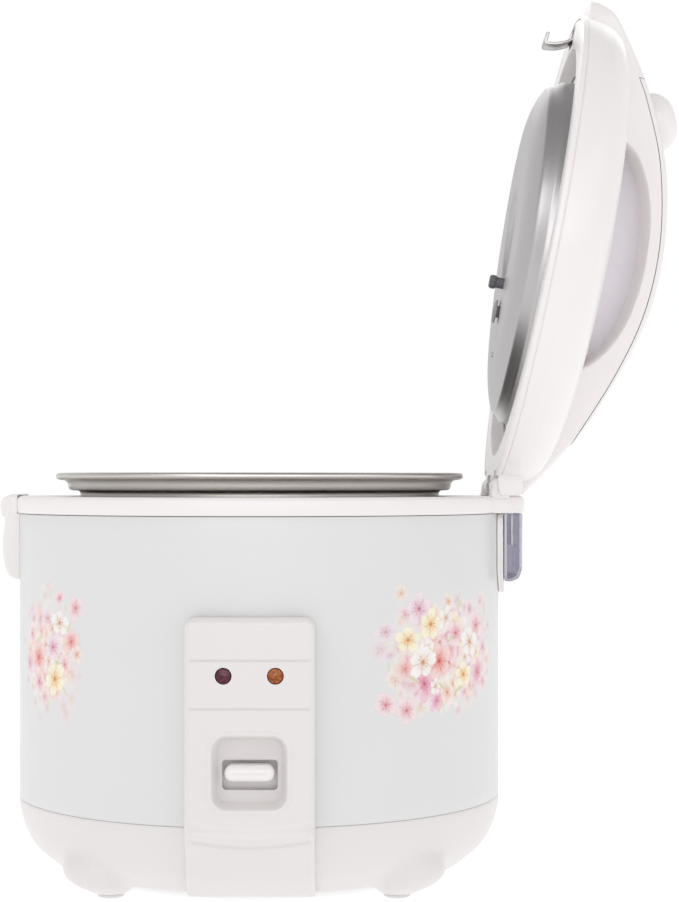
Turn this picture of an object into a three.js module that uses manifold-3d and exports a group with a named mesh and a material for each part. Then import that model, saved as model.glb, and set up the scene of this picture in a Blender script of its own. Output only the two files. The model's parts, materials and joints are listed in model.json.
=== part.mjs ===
// A round household rice cooker with a hinged lid, standing open.
// Millimetres, +Z up. The control panel faces -Y, the latch is at -X and the hinge at +X.
// Heights are given above the surface that the cooker stands on; the outer group then puts the
// origin at the centre of the bottom plate's flat underside. The lid is drawn closed, in a group
// that is turned about the hinge, and its heights are given above the top ring.

import * as THREE from "three";
import { mergeVertices } from "three/addons/utils/BufferGeometryUtils.js";
import Module from "manifold-3d";

const wasm = await Module();
wasm.setup();

// ---------------------------------------------------------------- driving dimensions

const GAP = 0.3; // between neighbouring pieces
const ROUND = 36; // sides of the large turned pieces
const SMALL_ROUND = 8; // sides of pins, screws and holes

const BODY_R = 145;
const UNDERSIDE = 6; // the bottom plate's underside above the floor
const BASE_TOP = 47;
const RING_BOTTOM = 216;
const RING_TOP = 226;
const RING_R = 146.5;
const RING_OPENING_R = 112.5;
const LOBE_R = 160.5; // rear lobe of the ring, over the dew collector

const PAN_WALL_R = 108.8;
const PAN_FLANGE_R = 123.5;
const PAN_STEP_R = 116.7;
const PAN_BOTTOM = 82;
const PAN_TOP = 240;
const PAN_WALL = 2;

const HOUSING_R = 114.5;
const HOUSING_FLOOR = 58;
const HOUSING_WALL = 1.2;

const PANEL_HALF = 35.3;
const PANEL_TOP = 161.6;
const PANEL_FRONT = -153;
const RECESS_HALF = 20;
const RECESS_LOW = 58.8;
const RECESS_HIGH = 97.9;
const LAMP_X = 14;
const LAMP_Z = 130.4;
const LAMP_R = 4.2;

const LEVER_PIVOT = { y: -62, z: 52 };
const LEVER_HALF = 4;

const HINGE_X = 143.7;
const HINGE_Z = RING_TOP + 5.5;
const HINGE_PIN_R = 2;
const KNUCKLE_R = 5.2;
const EAR_IN = 32;
const EAR_OUT = 44;
const OPEN_DEGREES = 100.7;

const LATCH_HALF = 24;
const BUTTON_HALF = 11;
const BUTTON_Z = 219.5;
const HOOK_PIVOT = { x: -136, h: 8 };
const HOOK_HALF = 8.5;

const LID_R = 145;
const LID_WALL = 2.5;
const BRIDGE_HALF = 29;
const WEB_HALF = 11;
const STEAM_CAP_R = 17;
const STEAM_CAP_TILT = 24.5; // degrees towards -X
const STEAM_CAP_SEAT = { x: -91.5, h: 52.5 };

// ---------------------------------------------------------------- shape helpers

// A closed three.js geometry as a solid that can be cut and joined.
function solid(geometry) {
  const loose = geometry.index ? geometry.toNonIndexed() : geometry;
  const bare = new THREE.BufferGeometry().setAttribute("position", loose.getAttribute("position"));
  const merged = mergeVertices(bare, 1e-4);
  const index = merged.index.array;
  const triangles = [];
  for (let i = 0; i < index.length; i += 3) {
    const [a, b, c] = index.slice(i, i + 3);
    if (a !== b && b !== c && c !== a) triangles.push([a, b, c]);
  }
  const build = (list) =>
    new wasm.Manifold(
      new wasm.Mesh({
        numProp: 3,
        vertProperties: merged.attributes.position.array,
        triVerts: new Uint32Array(list.flat()),
      }),
    );
  const made = build(triangles);
  if (made.volume() > 0) return made;
  return build(triangles.map(([a, b, c]) => [a, c, b]));
}

const join = (...solids) => solids.reduce((a, b) => a.add(b));
const cut = (body, ...tools) => tools.reduce((a, b) => a.subtract(b), body);

// Turns a profile of [radius, height] points about the Z axis. A profile that stays off the axis
// is closed on itself.
function turned(profile, sides = ROUND) {
  const points = profile.map(([r, z]) => new THREE.Vector2(r, z));
  const [first, last] = [points[0], points.at(-1)];
  if (first.x > 0 || last.x > 0) points.push(first.clone());
  return solid(new THREE.LatheGeometry(points, sides).rotateX(Math.PI / 2));
}

function extruded(outline, depth) {
  const shape = Array.isArray(outline)
    ? new THREE.Shape(outline.map(([a, b]) => new THREE.Vector2(a, b)))
    : outline;
  return new THREE.ExtrudeGeometry(shape, { depth, bevelEnabled: false, curveSegments: 6 });
}

// An outline in X and Y, from height z0 to z1.
const flat = (outline, z0, z1) => solid(extruded(outline, z1 - z0).translate(0, 0, z0));

// An outline in X and Z, from y0 to y1.
const alongY = (outline, y0, y1) =>
  solid(
    extruded(outline, y1 - y0)
      .rotateX(Math.PI / 2)
      .translate(0, y1, 0),
  );

// An outline in Y and Z, from x0 to x1.
function alongX(outline, x0, x1) {
  const turn = new THREE.Matrix4().makeBasis(
    new THREE.Vector3(0, 1, 0),
    new THREE.Vector3(0, 0, 1),
    new THREE.Vector3(1, 0, 0),
  );
  return solid(
    extruded(outline, x1 - x0)
      .applyMatrix4(turn)
      .translate(x0, 0, 0),
  );
}

function box([x0, x1], [y0, y1], [z0, z1]) {
  const geometry = new THREE.BoxGeometry(x1 - x0, y1 - y0, z1 - z0);
  return solid(geometry.translate((x0 + x1) / 2, (y0 + y1) / 2, (z0 + z1) / 2));
}

// A round bar between two points.
function bar(r, from, to, sides = SMALL_ROUND) {
  const [a, b] = [new THREE.Vector3(...from), new THREE.Vector3(...to)];
  const along = b.clone().sub(a);
  const geometry = new THREE.CylinderGeometry(r, r, along.length(), sides);
  const turn = new THREE.Quaternion().setFromUnitVectors(new THREE.Vector3(0, 1, 0), along.clone().normalize());
  return solid(geometry.applyQuaternion(turn).translate(...a.add(b).divideScalar(2).toArray()));
}

// A skin over level circles, each { x, y, r, z }, closed at both ends.
function lofted(circles, sides = 12) {
  const corners = circles.flatMap(({ x, y, r, z }) =>
    Array.from({ length: sides }, (_, i) => {
      const turn = (i / sides) * 2 * Math.PI;
      return [x + r * Math.cos(turn), y + r * Math.sin(turn), z];
    }),
  );
  const [low, high] = [circles[0], circles.at(-1)];
  corners.push([low.x, low.y, low.z], [high.x, high.y, high.z]);
  const [lowCentre, highCentre] = [corners.length - 2, corners.length - 1];
  const faces = [];
  for (let i = 0; i < sides; i++) {
    const next = (i + 1) % sides;
    for (let k = 0; k + 1 < circles.length; k++) {
      const [a, b] = [k * sides + i, k * sides + next];
      faces.push([a, b, b + sides], [a, b + sides, a + sides]);
    }
    const top = (circles.length - 1) * sides;
    faces.push([lowCentre, next, i], [highCentre, top + i, top + next]);
  }
  const geometry = new THREE.BufferGeometry();
  geometry.setAttribute("position", new THREE.Float32BufferAttribute(corners.flat(), 3));
  geometry.setIndex(faces.flat());
  return solid(geometry);
}

// A rectangle with round corners, centred on (x, y) of its own plane.
function roundedRectangle(x, y, halfWidth, halfHeight, r) {
  const shape = new THREE.Shape();
  const corners = [
    [x + halfWidth - r, y + halfHeight - r, 0],
    [x - halfWidth + r, y + halfHeight - r, 1],
    [x - halfWidth + r, y - halfHeight + r, 2],
    [x + halfWidth - r, y - halfHeight + r, 3],
  ];
  for (const [cx, cy, quarter] of corners)
    shape.absarc(cx, cy, r, (quarter * Math.PI) / 2, ((quarter + 1) * Math.PI) / 2, false);
  shape.closePath();
  return shape;
}

// Points of a smooth curve through a few given points.
const smooth = (points, count) =>
  new THREE.SplineCurve(points.map(([a, b]) => new THREE.Vector2(a, b))).getPoints(count).map((p) => [p.x, p.y]);

// The outline of a plate of even thickness bent along a line of points.
function bentPlate(line, thickness) {
  const at = line.map(([a, b]) => new THREE.Vector2(a, b));
  const side = at.map((p, i) => {
    const back = at[Math.max(i - 1, 0)];
    const ahead = at[Math.min(i + 1, at.length - 1)];
    const along = ahead.clone().sub(back).normalize();
    return new THREE.Vector2(-along.y, along.x).multiplyScalar(thickness / 2);
  });
  const left = at.map((p, i) => [p.x + side[i].x, p.y + side[i].y]);
  const right = at.map((p, i) => [p.x - side[i].x, p.y - side[i].y]).reverse();
  return [...left, ...right];
}

// A helical spring about the Z axis, standing on z = 0.
function coilSpring({ coilR, wireR, height, turns }) {
  const steps = turns * SMALL_ROUND;
  const path = new THREE.CatmullRomCurve3(
    Array.from({ length: steps + 1 }, (_, i) => {
      const turn = (i / SMALL_ROUND) * 2 * Math.PI;
      const z = wireR + ((height - 2 * wireR) * i) / steps;
      return new THREE.Vector3(coilR * Math.cos(turn), coilR * Math.sin(turn), z);
    }),
  );
  const wire = new THREE.Shape(
    Array.from({ length: 4 }, (_, i) => {
      const turn = (i / 4) * 2 * Math.PI;
      return new THREE.Vector2(wireR * Math.cos(turn), wireR * Math.sin(turn));
    }),
  );
  return solid(new THREE.ExtrudeGeometry(wire, { steps, extrudePath: path, curveSegments: 1 }));
}

const MATERIALS = {
  whitePlastic: [0xeeeae8, 0.38, 0],
  panelPlastic: [0xe7e3e2, 0.4, 0],
  wellPlastic: [0xd8d3d9, 0.5, 0],
  paintedSteel: [0xe3e4e4, 0.35, 0.1],
  panMetal: [0xb4b0ad, 0.4, 0.9],
  dullAluminium: [0xb8b6ba, 0.5, 0.9],
  castAluminium: [0xa6a6a6, 0.6, 0.8],
  zincSteel: [0xa0a2a6, 0.5, 0.9],
  chrome: [0xc8c8c8, 0.15, 1],
  greyPlastic: [0x85848a, 0.5, 0],
  blackPlastic: [0x2c2c30, 0.5, 0],
  greyRubber: [0x7d7d82, 0.8, 0],
  clearPlastic: [0xa7a4ad, 0.15, 0, 0.45],
  plumLens: [0x623242, 0.2, 0],
  amberLens: [0xa15e31, 0.2, 0],
  lampGlass: [0xf0c8b0, 0.1, 0, 0.6],
  ferrite: [0x3a3a3c, 0.7, 0.2],
  brass: [0xb89a55, 0.35, 1],
};

// One named sub-part from a solid.
function piece(name, shape, look) {
  const { vertProperties, triVerts } = shape.getMesh();
  const geometry = new THREE.BufferGeometry();
  geometry.setAttribute("position", new THREE.BufferAttribute(new Float32Array(vertProperties), 3));
  geometry.setIndex(new THREE.BufferAttribute(new Uint32Array(triVerts), 1));
  geometry.computeVertexNormals();
  const [color, roughness, metalness, opacity = 1] = MATERIALS[look];
  const material = new THREE.MeshStandardMaterial({ color, roughness, metalness, opacity });
  material.transparent = opacity < 1;
  const mesh = new THREE.Mesh(geometry, material);
  mesh.name = name;
  return mesh;
}

// The same, moved to a place of its own.
function placed(mesh, x, y, z) {
  mesh.position.set(x, y, z);
  return mesh;
}

const mirrorPairs = [
  [-1, -1],
  [1, -1],
  [1, 1],
  [-1, 1],
];

// ---------------------------------------------------------------- base and body

// Outside of the base from its seam down round the corner to the underside.
const BASE_OUTSIDE = [
  [BODY_R, BASE_TOP],
  [BODY_R, 43],
  [142, 31],
  [135.5, 19],
  [123, 8],
  [104, 3.3],
];
const BASE_OPENING_R = 99;
const LEDGE_LOW = 7.5;
const LEDGE_HIGH = 10;
const LEDGE_R = 92;
const SCREW_R = 95.5; // circle of the bottom plate's screws

function baseShell() {
  const shell = turned([...BASE_OUTSIDE, [0, 3.3], [0, BASE_TOP]]);
  const lobes = mirrorPairs.map(([sx, sy]) =>
    lofted([
      { x: 81 * sx, y: 91 * sy, r: 9, z: 2.3 },
      { x: 82.5 * sx, y: 90 * sy, r: 14, z: 4.5 },
      { x: 84.5 * sx, y: 88 * sy, r: 20, z: 8 },
      { x: 86 * sx, y: 86 * sy, r: 23, z: 13 },
      { x: 86 * sx, y: 86 * sy, r: 22.5, z: 20 },
      { x: 84 * sx, y: 84 * sy, r: 20, z: 30 },
    ]),
  );
  const inside = turned([
    [0, LEDGE_HIGH],
    [118, LEDGE_HIGH],
    [132.8, 20.6],
    [139.2, 31.8],
    [142.2, 43.4],
    [142.2, BASE_TOP + 1],
    [0, BASE_TOP + 1],
  ]);
  const mouth = turned([
    [0, 0],
    [BASE_OPENING_R, 0],
    [BASE_OPENING_R, LEDGE_LOW],
    [LEDGE_R, LEDGE_LOW],
    [LEDGE_R, LEDGE_HIGH + 1],
    [0, LEDGE_HIGH + 1],
  ]);
  const screwHoles = mirrorPairs.map(([sx, sy]) => {
    const at = SCREW_R * Math.SQRT1_2;
    return bar(1.8, [at * sx, at * sy, 5], [at * sx, at * sy, LEDGE_HIGH + 1]);
  });
  const inletWindow = box([120, 150], [-14 - GAP, 14 + GAP], [22 - GAP, 44 + GAP]);
  return piece("base_shell", cut(join(shell, ...lobes), inside, mouth, ...screwHoles, inletWindow), "whitePlastic");
}

function bottomPlate() {
  const at = SCREW_R * Math.SQRT1_2;
  const plate = turned([
    [0, UNDERSIDE],
    [BASE_OPENING_R - GAP, UNDERSIDE],
    [BASE_OPENING_R - GAP, LEDGE_LOW - GAP],
    [0, LEDGE_LOW - GAP],
  ]);
  const holes = mirrorPairs.map(([sx, sy]) => bar(1.8, [at * sx, at * sy, 0], [at * sx, at * sy, 9]));
  const vents = [-2, -1, 0, 1, 2].map((i) =>
    box([i * 14 - 2.5, i * 14 + 2.5], [28, 62], [UNDERSIDE - 1, LEDGE_LOW]),
  );
  return piece("bottom_plate", cut(plate, ...holes, ...vents), "zincSteel");
}

function bottomScrew(index) {
  const at = SCREW_R * Math.SQRT1_2;
  const [sx, sy] = mirrorPairs[index];
  const screw = turned(
    [
      [0, 4.3],
      [3.1, 4.3],
      [3.1, UNDERSIDE - GAP],
      [1.5, UNDERSIDE - GAP],
      [1.5, LEDGE_HIGH + 3],
      [0, LEDGE_HIGH + 3],
    ],
    SMALL_ROUND,
  );
  return placed(piece(`bottom_screw_${index + 1}`, screw, "zincSteel"), at * sx, at * sy, 0);
}

function footPad(index) {
  const [sx, sy] = mirrorPairs[index];
  const pad = turned(
    [
      [0, 0],
      [7, 0],
      [7.5, 0.6],
      [7.5, 2],
      [0, 2],
    ],
    16,
  );
  return placed(piece(`foot_pad_${index + 1}`, pad, "greyRubber"), 81 * sx, 91 * sy, 0);
}

function bodySleeve() {
  const sleeve = turned([
    [BODY_R, BASE_TOP + GAP],
    [BODY_R, RING_BOTTOM - GAP],
    [BODY_R - 1, RING_BOTTOM - GAP],
    [BODY_R - 1, BASE_TOP + GAP],
  ]);
  const switchWindow = box([-27, 27], [-150, -120], [53, 145]);
  return piece("body_sleeve", cut(sleeve, switchWindow), "paintedSteel");
}

function topRing() {
  const band = turned([
    [RING_R, RING_BOTTOM],
    [RING_R, RING_TOP - 1.5],
    [BODY_R, RING_TOP],
    [RING_OPENING_R + 1, RING_TOP],
    [RING_OPENING_R, RING_TOP - 1],
    [RING_OPENING_R, RING_TOP - 3],
    [143.5, RING_TOP - 3],
    [143.5, RING_BOTTOM],
  ]);
  const onArc = (r, degrees) => [r * Math.cos((degrees * Math.PI) / 180), r * Math.sin((degrees * Math.PI) / 180)];
  const lobeShape = new THREE.Shape();
  lobeShape.moveTo(...onArc(143.8, -18));
  lobeShape.lineTo(...onArc(146, -18));
  lobeShape.quadraticCurveTo(...onArc(LOBE_R, -15.5), ...onArc(LOBE_R, -11));
  for (const degrees of [-6, 0, 6, 11]) lobeShape.lineTo(...onArc(LOBE_R, degrees));
  lobeShape.quadraticCurveTo(...onArc(LOBE_R, 15.5), ...onArc(146, 18));
  lobeShape.lineTo(...onArc(143.8, 18));
  for (const degrees of [12, 6, 0, -6, -12]) lobeShape.lineTo(...onArc(143.8, degrees));
  const lobe = flat(lobeShape, RING_BOTTOM, RING_TOP);
  const ears = [-1, 1].map((side) => {
    const [y0, y1] = side < 0 ? [-EAR_OUT, -EAR_IN] : [EAR_IN, EAR_OUT];
    const foot = box([HINGE_X - 5.3, HINGE_X + 5.2], [y0, y1], [RING_TOP - 2, HINGE_Z]);
    return join(foot, bar(5.9, [HINGE_X, y0, HINGE_Z], [HINGE_X, y1, HINGE_Z], 16));
  });
  const pinHole = bar(HINGE_PIN_R + GAP, [HINGE_X, -60, HINGE_Z], [HINGE_X, 60, HINGE_Z]);
  const hookSlot = box([-141, -122], [-12, 12], [RING_TOP - 5, RING_TOP + 5]);
  const stemHole = bar(2.4, [-160, 0, BUTTON_Z], [-130, 0, BUTTON_Z]);
  const drain = box([150, 157], [-8, 8], [RING_BOTTOM - 2, RING_TOP + 2]);
  return piece("top_ring", cut(join(band, lobe, ...ears), pinHole, hookSlot, stemHole, drain), "whitePlastic");
}

function potHousing() {
  const wall = HOUSING_WALL;
  return piece(
    "inner_pot_housing",
    turned([
      [HOUSING_R, RING_TOP - 3 - GAP],
      [HOUSING_R, HOUSING_FLOOR],
      [6, HOUSING_FLOOR],
      [6, HOUSING_FLOOR + wall],
      [HOUSING_R - wall, HOUSING_FLOOR + wall],
      [HOUSING_R - wall, RING_TOP - 3 - GAP],
    ]),
    "zincSteel",
  );
}

function powerInlet() {
  const block = box([100, 134], [-14, 14], [22, 44]);
  const socket = box([112, 140], [-10.5, 10.5], [26, 40]);
  return piece("power_inlet", cut(block, socket), "blackPlastic");
}

function inletPin(side) {
  const name = side < 0 ? "inlet_pin_1" : "inlet_pin_2";
  return piece(name, bar(2, [112 + GAP, 5.5 * side, 33], [130, 5.5 * side, 33]), "brass");
}

// ---------------------------------------------------------------- heating and sensing

const PLATE_TOP = PAN_BOTTOM - GAP;
const PLATE_LOW = 69.5;

function heatingPlate() {
  const plate = turned([
    [19, PLATE_TOP],
    [19, PLATE_LOW + 3],
    [40, PLATE_LOW],
    [66, PLATE_LOW],
    [75, PLATE_LOW + 6],
    [75, PLATE_TOP],
  ]);
  const legs = [90, 210, 330].map((degrees) => {
    const turn = THREE.MathUtils.degToRad(degrees);
    const [x, y] = [55 * Math.cos(turn), 55 * Math.sin(turn)];
    return bar(3.5, [x, y, HOUSING_FLOOR + HOUSING_WALL + GAP], [x, y, PLATE_LOW + 2]);
  });
  return piece("heating_plate", join(plate, ...legs), "castAluminium");
}

const thermalFuse = () => piece("thermal_fuse", bar(2.5, [22, -14, 64], [22, 14, 64]), "blackPlastic");

function sideHeater() {
  const inner = HOUSING_R + GAP;
  return piece(
    "side_heater_band",
    turned([
      [inner, 120],
      [inner + 1.2, 120],
      [inner + 1.2, 170],
      [inner, 170],
    ]),
    "greyRubber",
  );
}

function sensorCup() {
  return piece(
    "sensor_cup",
    turned(
      [
        [0, PLATE_TOP],
        [16, PLATE_TOP],
        [17.5, PLATE_TOP - 1.5],
        [17.5, 63.5],
        [16.4, 63.5],
        [16.4, 80.5],
        [0, 80.5],
      ],
      24,
    ),
    "dullAluminium",
  );
}

const disc = (name, r, low, high, look) =>
  piece(
    name,
    turned(
      [
        [0, low],
        [r, low],
        [r, high],
        [0, high],
      ],
      24,
    ),
    look,
  );

const sensorSpring = () =>
  placed(
    piece("sensor_spring", coilSpring({ coilR: 14.2, wireR: 0.7, height: 20.4, turns: 5 }), "zincSteel"),
    0,
    0,
    HOUSING_FLOOR + HOUSING_WALL + GAP,
  );

const liftRod = () => piece("lift_rod", bar(2, [0, 0, 54.4], [0, 0, 66 - GAP]), "zincSteel");

// ---------------------------------------------------------------- switch lever

function pivotBracket() {
  const { y, z } = LEVER_PIVOT;
  const web = box([-8, 8], [y - 8, y + 8], [HOUSING_FLOOR - GAP - 1.5, HOUSING_FLOOR - GAP]);
  const cheeks = [-1, 1].map((side) =>
    box([Math.min(5.2 * side, 6.7 * side), Math.max(5.2 * side, 6.7 * side)], [y - 5, y + 5], [z - 5, 57.7]),
  );
  const hole = bar(1.8, [-10, y, z], [10, y, z]);
  return piece("pivot_bracket", cut(join(web, ...cheeks), hole), "zincSteel");
}

function pivotPin() {
  const { y, z } = LEVER_PIVOT;
  return piece("pivot_pin", bar(1.5, [-8.5, y, z], [8.5, y, z]), "zincSteel");
}

function leverArm() {
  const { y, z } = LEVER_PIVOT;
  const outline = [
    [-138.6, 75.5],
    [-138.6, 79],
    [-131.5, 79],
    [-131.5, 53.4],
    [-62, 54],
    [6, 54],
    [6, 50.6],
    [-62, 49.4],
    [-135.5, 49.8],
    [-135.5, 75.5],
  ];
  const hole = bar(1.8, [-10, y, z], [10, y, z]);
  return piece("lever_arm", cut(alongX(outline, -LEVER_HALF, LEVER_HALF), hole), "zincSteel");
}

function cookingLever() {
  const cap = alongX(
    [
      [-152.6, 74],
      [-153.6, 75.5],
      [-153.6, 79.5],
      [-152.6, 82.2],
      [-139, 82.2],
      [-139, 72.5],
      [-151.2, 72.5],
    ],
    -13.5,
    13.5,
  );
  return piece("cooking_lever", cap, "whitePlastic");
}

const microSwitch = () => piece("micro_switch", box([-5, 5], [-44, -24], [32, 48.4]), "blackPlastic");

// ---------------------------------------------------------------- control panel

function controlPanel() {
  const corner = 6;
  const side = [
    [-139, PANEL_TOP],
    [PANEL_FRONT + 3, PANEL_TOP],
    [PANEL_FRONT, PANEL_TOP - 3],
    [PANEL_FRONT, 43],
    [PANEL_FRONT + 2, 39],
    [-145.5, 30.5],
    [-139, 18.5],
    [-127, 7.5],
    [-121, UNDERSIDE],
    [-119, UNDERSIDE],
    [-119, PANEL_TOP],
  ];
  const block = alongX(side, -PANEL_HALF, PANEL_HALF);
  const front = alongY(
    roundedRectangle(0, (PANEL_TOP + UNDERSIDE) / 2, PANEL_HALF, (PANEL_TOP - UNDERSIDE) / 2, corner),
    -160,
    -100,
  );
  const squareFoot = box([-PANEL_HALF, PANEL_HALF], [-160, -100], [UNDERSIDE, 40]);
  const behind = turned([
    [0, 0],
    ...BASE_OUTSIDE.toReversed().map(([r, z]) => [r + GAP + 0.1, z - GAP]),
    [BODY_R + GAP, PANEL_TOP + 5],
    [0, PANEL_TOP + 5],
  ]);
  const middle = (RECESS_LOW + RECESS_HIGH) / 2;
  const halfHeight = (RECESS_HIGH - RECESS_LOW) / 2;
  const cupBack = alongY(roundedRectangle(0, middle, RECESS_HALF + 3, halfHeight + 3, 9), -148, -141.5);
  const recess = alongY(roundedRectangle(0, middle, RECESS_HALF, halfHeight, 8), -160, -144);
  const slot = box([-15, 15], [-150, -135], [68, 84.4]);
  const lampHoles = [-LAMP_X, LAMP_X].map((x) => bar(LAMP_R + GAP, [x, -160, LAMP_Z], [x, -130, LAMP_Z], 16));
  const skin = cut(block.intersect(join(front, squareFoot)), behind);
  return piece("control_panel", cut(join(skin, cupBack), recess, slot, ...lampHoles), "panelPlastic");
}

function lampLens(name, x, look) {
  const lens = bar(LAMP_R, [x, PANEL_FRONT - 0.6, LAMP_Z], [x, -147.8, LAMP_Z], 16);
  return piece(name, lens, look);
}

const lampBulb = (name, x) => piece(name, bar(2.8, [x, -147.5, LAMP_Z], [x, -133, LAMP_Z]), "lampGlass");

// ---------------------------------------------------------------- latch

function latchHousing() {
  const outline = [
    [-142, 176.5],
    [-147, 176.5],
    [-151, 179.5],
    [-153, 185],
    [-154, 194],
    [-153.4, 204],
    [-152.3, 211],
    [-152.3, 224],
    [-150.5, 226.8],
    [-147.5, RING_TOP + 1.2],
    [-142, RING_TOP + 1.2],
  ];
  const block = alongY(outline, -LATCH_HALF, LATCH_HALF);
  const bodyBehind = turned([
    [0, 170],
    [BODY_R + GAP, 170],
    [BODY_R + GAP, RING_BOTTOM - GAP],
    [RING_R + GAP, RING_BOTTOM - GAP],
    [RING_R + GAP, RING_TOP + 5],
    [0, RING_TOP + 5],
  ]);
  const [low, high] = [BUTTON_Z - 6.5 - GAP, BUTTON_Z + 6.5 + GAP];
  const window = box([-165, -140], [-BUTTON_HALF - GAP, BUTTON_HALF + GAP], [low, high]);
  return piece("latch_housing", cut(block, bodyBehind, window), "whitePlastic");
}

const BUTTON_BACK = -149.9;

function latchButton() {
  const [low, high] = [BUTTON_Z - 6.5, BUTTON_Z + 6.5];
  const head = alongY(
    [
      [BUTTON_BACK, low],
      [-155.5, low],
      [-156.6, low + 2],
      [-157, high - 5],
      [-156, high - 1.8],
      [-153.5, high],
      [BUTTON_BACK, high],
    ],
    -BUTTON_HALF,
    BUTTON_HALF,
  );
  const pocket = bar(4.3, [-154, 0, BUTTON_Z], [-140, 0, BUTTON_Z]);
  const stem = bar(2, [-155, 0, BUTTON_Z], [-133.5, 0, BUTTON_Z]);
  return piece("latch_button", join(cut(head, pocket), stem), "whitePlastic");
}

function buttonSpring() {
  const spring = piece(
    "button_spring",
    coilSpring({ coilR: 3.2, wireR: 0.4, height: 6.6, turns: 3 }),
    "zincSteel",
  );
  spring.rotation.y = Math.PI / 2;
  return placed(spring, -153.6, 0, BUTTON_Z);
}

function latchCatch() {
  const under = RING_TOP - 3 - GAP;
  const striker = box([-140, -131.5], [-11.6, 11.6], [214.5, 217.2]);
  const legs = [-1, 1].map((side) =>
    box([-140, -133], [Math.min(9.6 * side, 11.6 * side), Math.max(9.6 * side, 11.6 * side)], [216, under]),
  );
  return piece("latch_catch", join(striker, ...legs), "zincSteel");
}

// ---------------------------------------------------------------- dew collector

function behindCollector(r) {
  return turned([
    [0, 150],
    [r, 150],
    [r, 240],
    [0, 240],
  ]);
}

function collectorBracket() {
  const half = 28;
  const outside = behindCollector(BODY_R + 3.5);
  const plate = alongX(
    [
      [-half, 178],
      [-half + 10, 168],
      [half - 10, 168],
      [half, 178],
      [half, RING_BOTTOM - GAP],
      [-half, RING_BOTTOM - GAP],
    ],
    130,
    170,
  );
  return piece("collector_bracket", cut(plate.intersect(outside), behindCollector(BODY_R + GAP)), "whitePlastic");
}

function dewCollector() {
  const wall = 1.5;
  const half = 25;
  const [inner, outer] = [BODY_R + 4.1, LOBE_R - 1];
  const shell = (r0, r1, halfWidth, low) => {
    const solidPart = turned([
      [0, low],
      [r1 - 6, low],
      [r1 - 1.8, low + 1.8],
      [r1, low + 6],
      [r1, 240],
      [0, 240],
    ]);
    const wide = box([120, 170], [-halfWidth, halfWidth], [low - 1, RING_BOTTOM - GAP]);
    return cut(solidPart.intersect(wide), behindCollector(r0));
  };
  const cup = shell(inner, outer, half, 175);
  const room = shell(inner + wall, outer - wall, half - wall, 175 + wall);
  const above = box([inner + wall + 0.3, outer - wall - 2], [-half + 8, half - 8], [200, 230]);
  return piece("dew_collector", cut(cup, room, above.intersect(behindCollector(outer - wall))), "clearPlastic");
}

// ---------------------------------------------------------------- hinge

const hingePin = () =>
  piece("hinge_pin", bar(HINGE_PIN_R, [HINGE_X, -EAR_OUT, HINGE_Z], [HINGE_X, EAR_OUT, HINGE_Z]), "zincSteel");

function hingeSpring() {
  const spring = piece(
    "hinge_spring",
    coilSpring({ coilR: 3.5, wireR: 0.7, height: 22, turns: 6 }),
    "zincSteel",
  );
  spring.rotation.x = Math.PI / 2;
  return placed(spring, HINGE_X, 11, HINGE_Z);
}

// ---------------------------------------------------------------- pan

function cookingPan() {
  const inner = PAN_WALL_R - PAN_WALL;
  return piece(
    "cooking_pan",
    turned([
      [0, PAN_BOTTOM],
      [88, PAN_BOTTOM],
      [101, 86],
      [107.3, 95],
      [PAN_WALL_R, 106],
      [PAN_WALL_R, 229.5],
      [PAN_STEP_R, 229.5],
      [PAN_STEP_R, 235],
      [PAN_FLANGE_R - 1.2, 235],
      [PAN_FLANGE_R, 236.5],
      [PAN_FLANGE_R, 238.5],
      [PAN_FLANGE_R - 1.5, PAN_TOP],
      [PAN_STEP_R - PAN_WALL + 1.5, PAN_TOP],
      [PAN_STEP_R - PAN_WALL, PAN_TOP - 1.5],
      [PAN_STEP_R - PAN_WALL, 231.3],
      [inner, 231.3],
      [inner, 106],
      [105.4, 96],
      [99.8, 88],
      [87, 84],
      [0, 84],
    ]),
    "panMetal",
  );
}

// ---------------------------------------------------------------- lid (drawn closed)

const DOME_OUTSIDE = [
  [LID_R, 0.5],
  [LID_R, 3.8],
  [143.5, 14],
  [140.5, 21],
  [134.5, 27.5],
  [126, 31.5],
  [116, 34],
  [100, 36.5],
  [70, 39.5],
  [35, 41.5],
  [0, 42.3],
];
const DOME_INSIDE = [
  [LID_R - LID_WALL, -1],
  [LID_R - LID_WALL, 4],
  [141, 13.5],
  [138.3, 19.5],
  [132.8, 25.2],
  [125.2, 28.9],
  [115.5, 31.4],
  [99.7, 33.9],
  [70, 36.9],
  [35, 38.9],
  [0, 39.7],
];

// Side outline of the raised bridge that carries the handle, nose at -X.
const BRIDGE_TOP = smooth(
  [
    [-151, 14],
    [-144.8, 23],
    [-127.5, 37],
    [-104, 51.4],
    [-69, 67],
    [-34.5, 75],
    [4.5, 77.3],
    [42, 71.7],
    [94, 53],
    [121, 37.5],
    [145.2, 21.5],
  ],
  26,
);
const bridge = () => alongY([[-151, 6], ...BRIDGE_TOP, [143.5, 10], [-143, 6]], -BRIDGE_HALF, BRIDGE_HALF);

// Everything above the seam between the bridge and its cover, raised by a given gap.
function aboveSeam(raise, inset) {
  const seam = smooth(
    [
      [-112 + inset, 42],
      [-96.6, 50.3],
      [-63, 64],
      [-19, 72.3],
      [24, 71.3],
      [65, 61],
      [113 - inset, 42],
    ],
    18,
  ).map(([x, h]) => [x, h + raise]);
  return alongY([...seam, [113 - inset, 90], [-112 + inset, 90]], -40, 40);
}

// The finger opening under the handle, shrunk by a given gap.
function fingerOpening(shrink, y0, y1) {
  const arch = smooth(
    [
      [-70 + shrink, 43.4 + shrink],
      [-59 + shrink, 53],
      [-34, 63.7 - shrink],
      [-4, 66.3 - shrink],
      [33, 63 - shrink],
      [60 - shrink, 50],
      [63.5 - shrink, 43.4 + shrink],
    ],
    14,
  );
  return alongY(arch, y0, y1);
}

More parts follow.
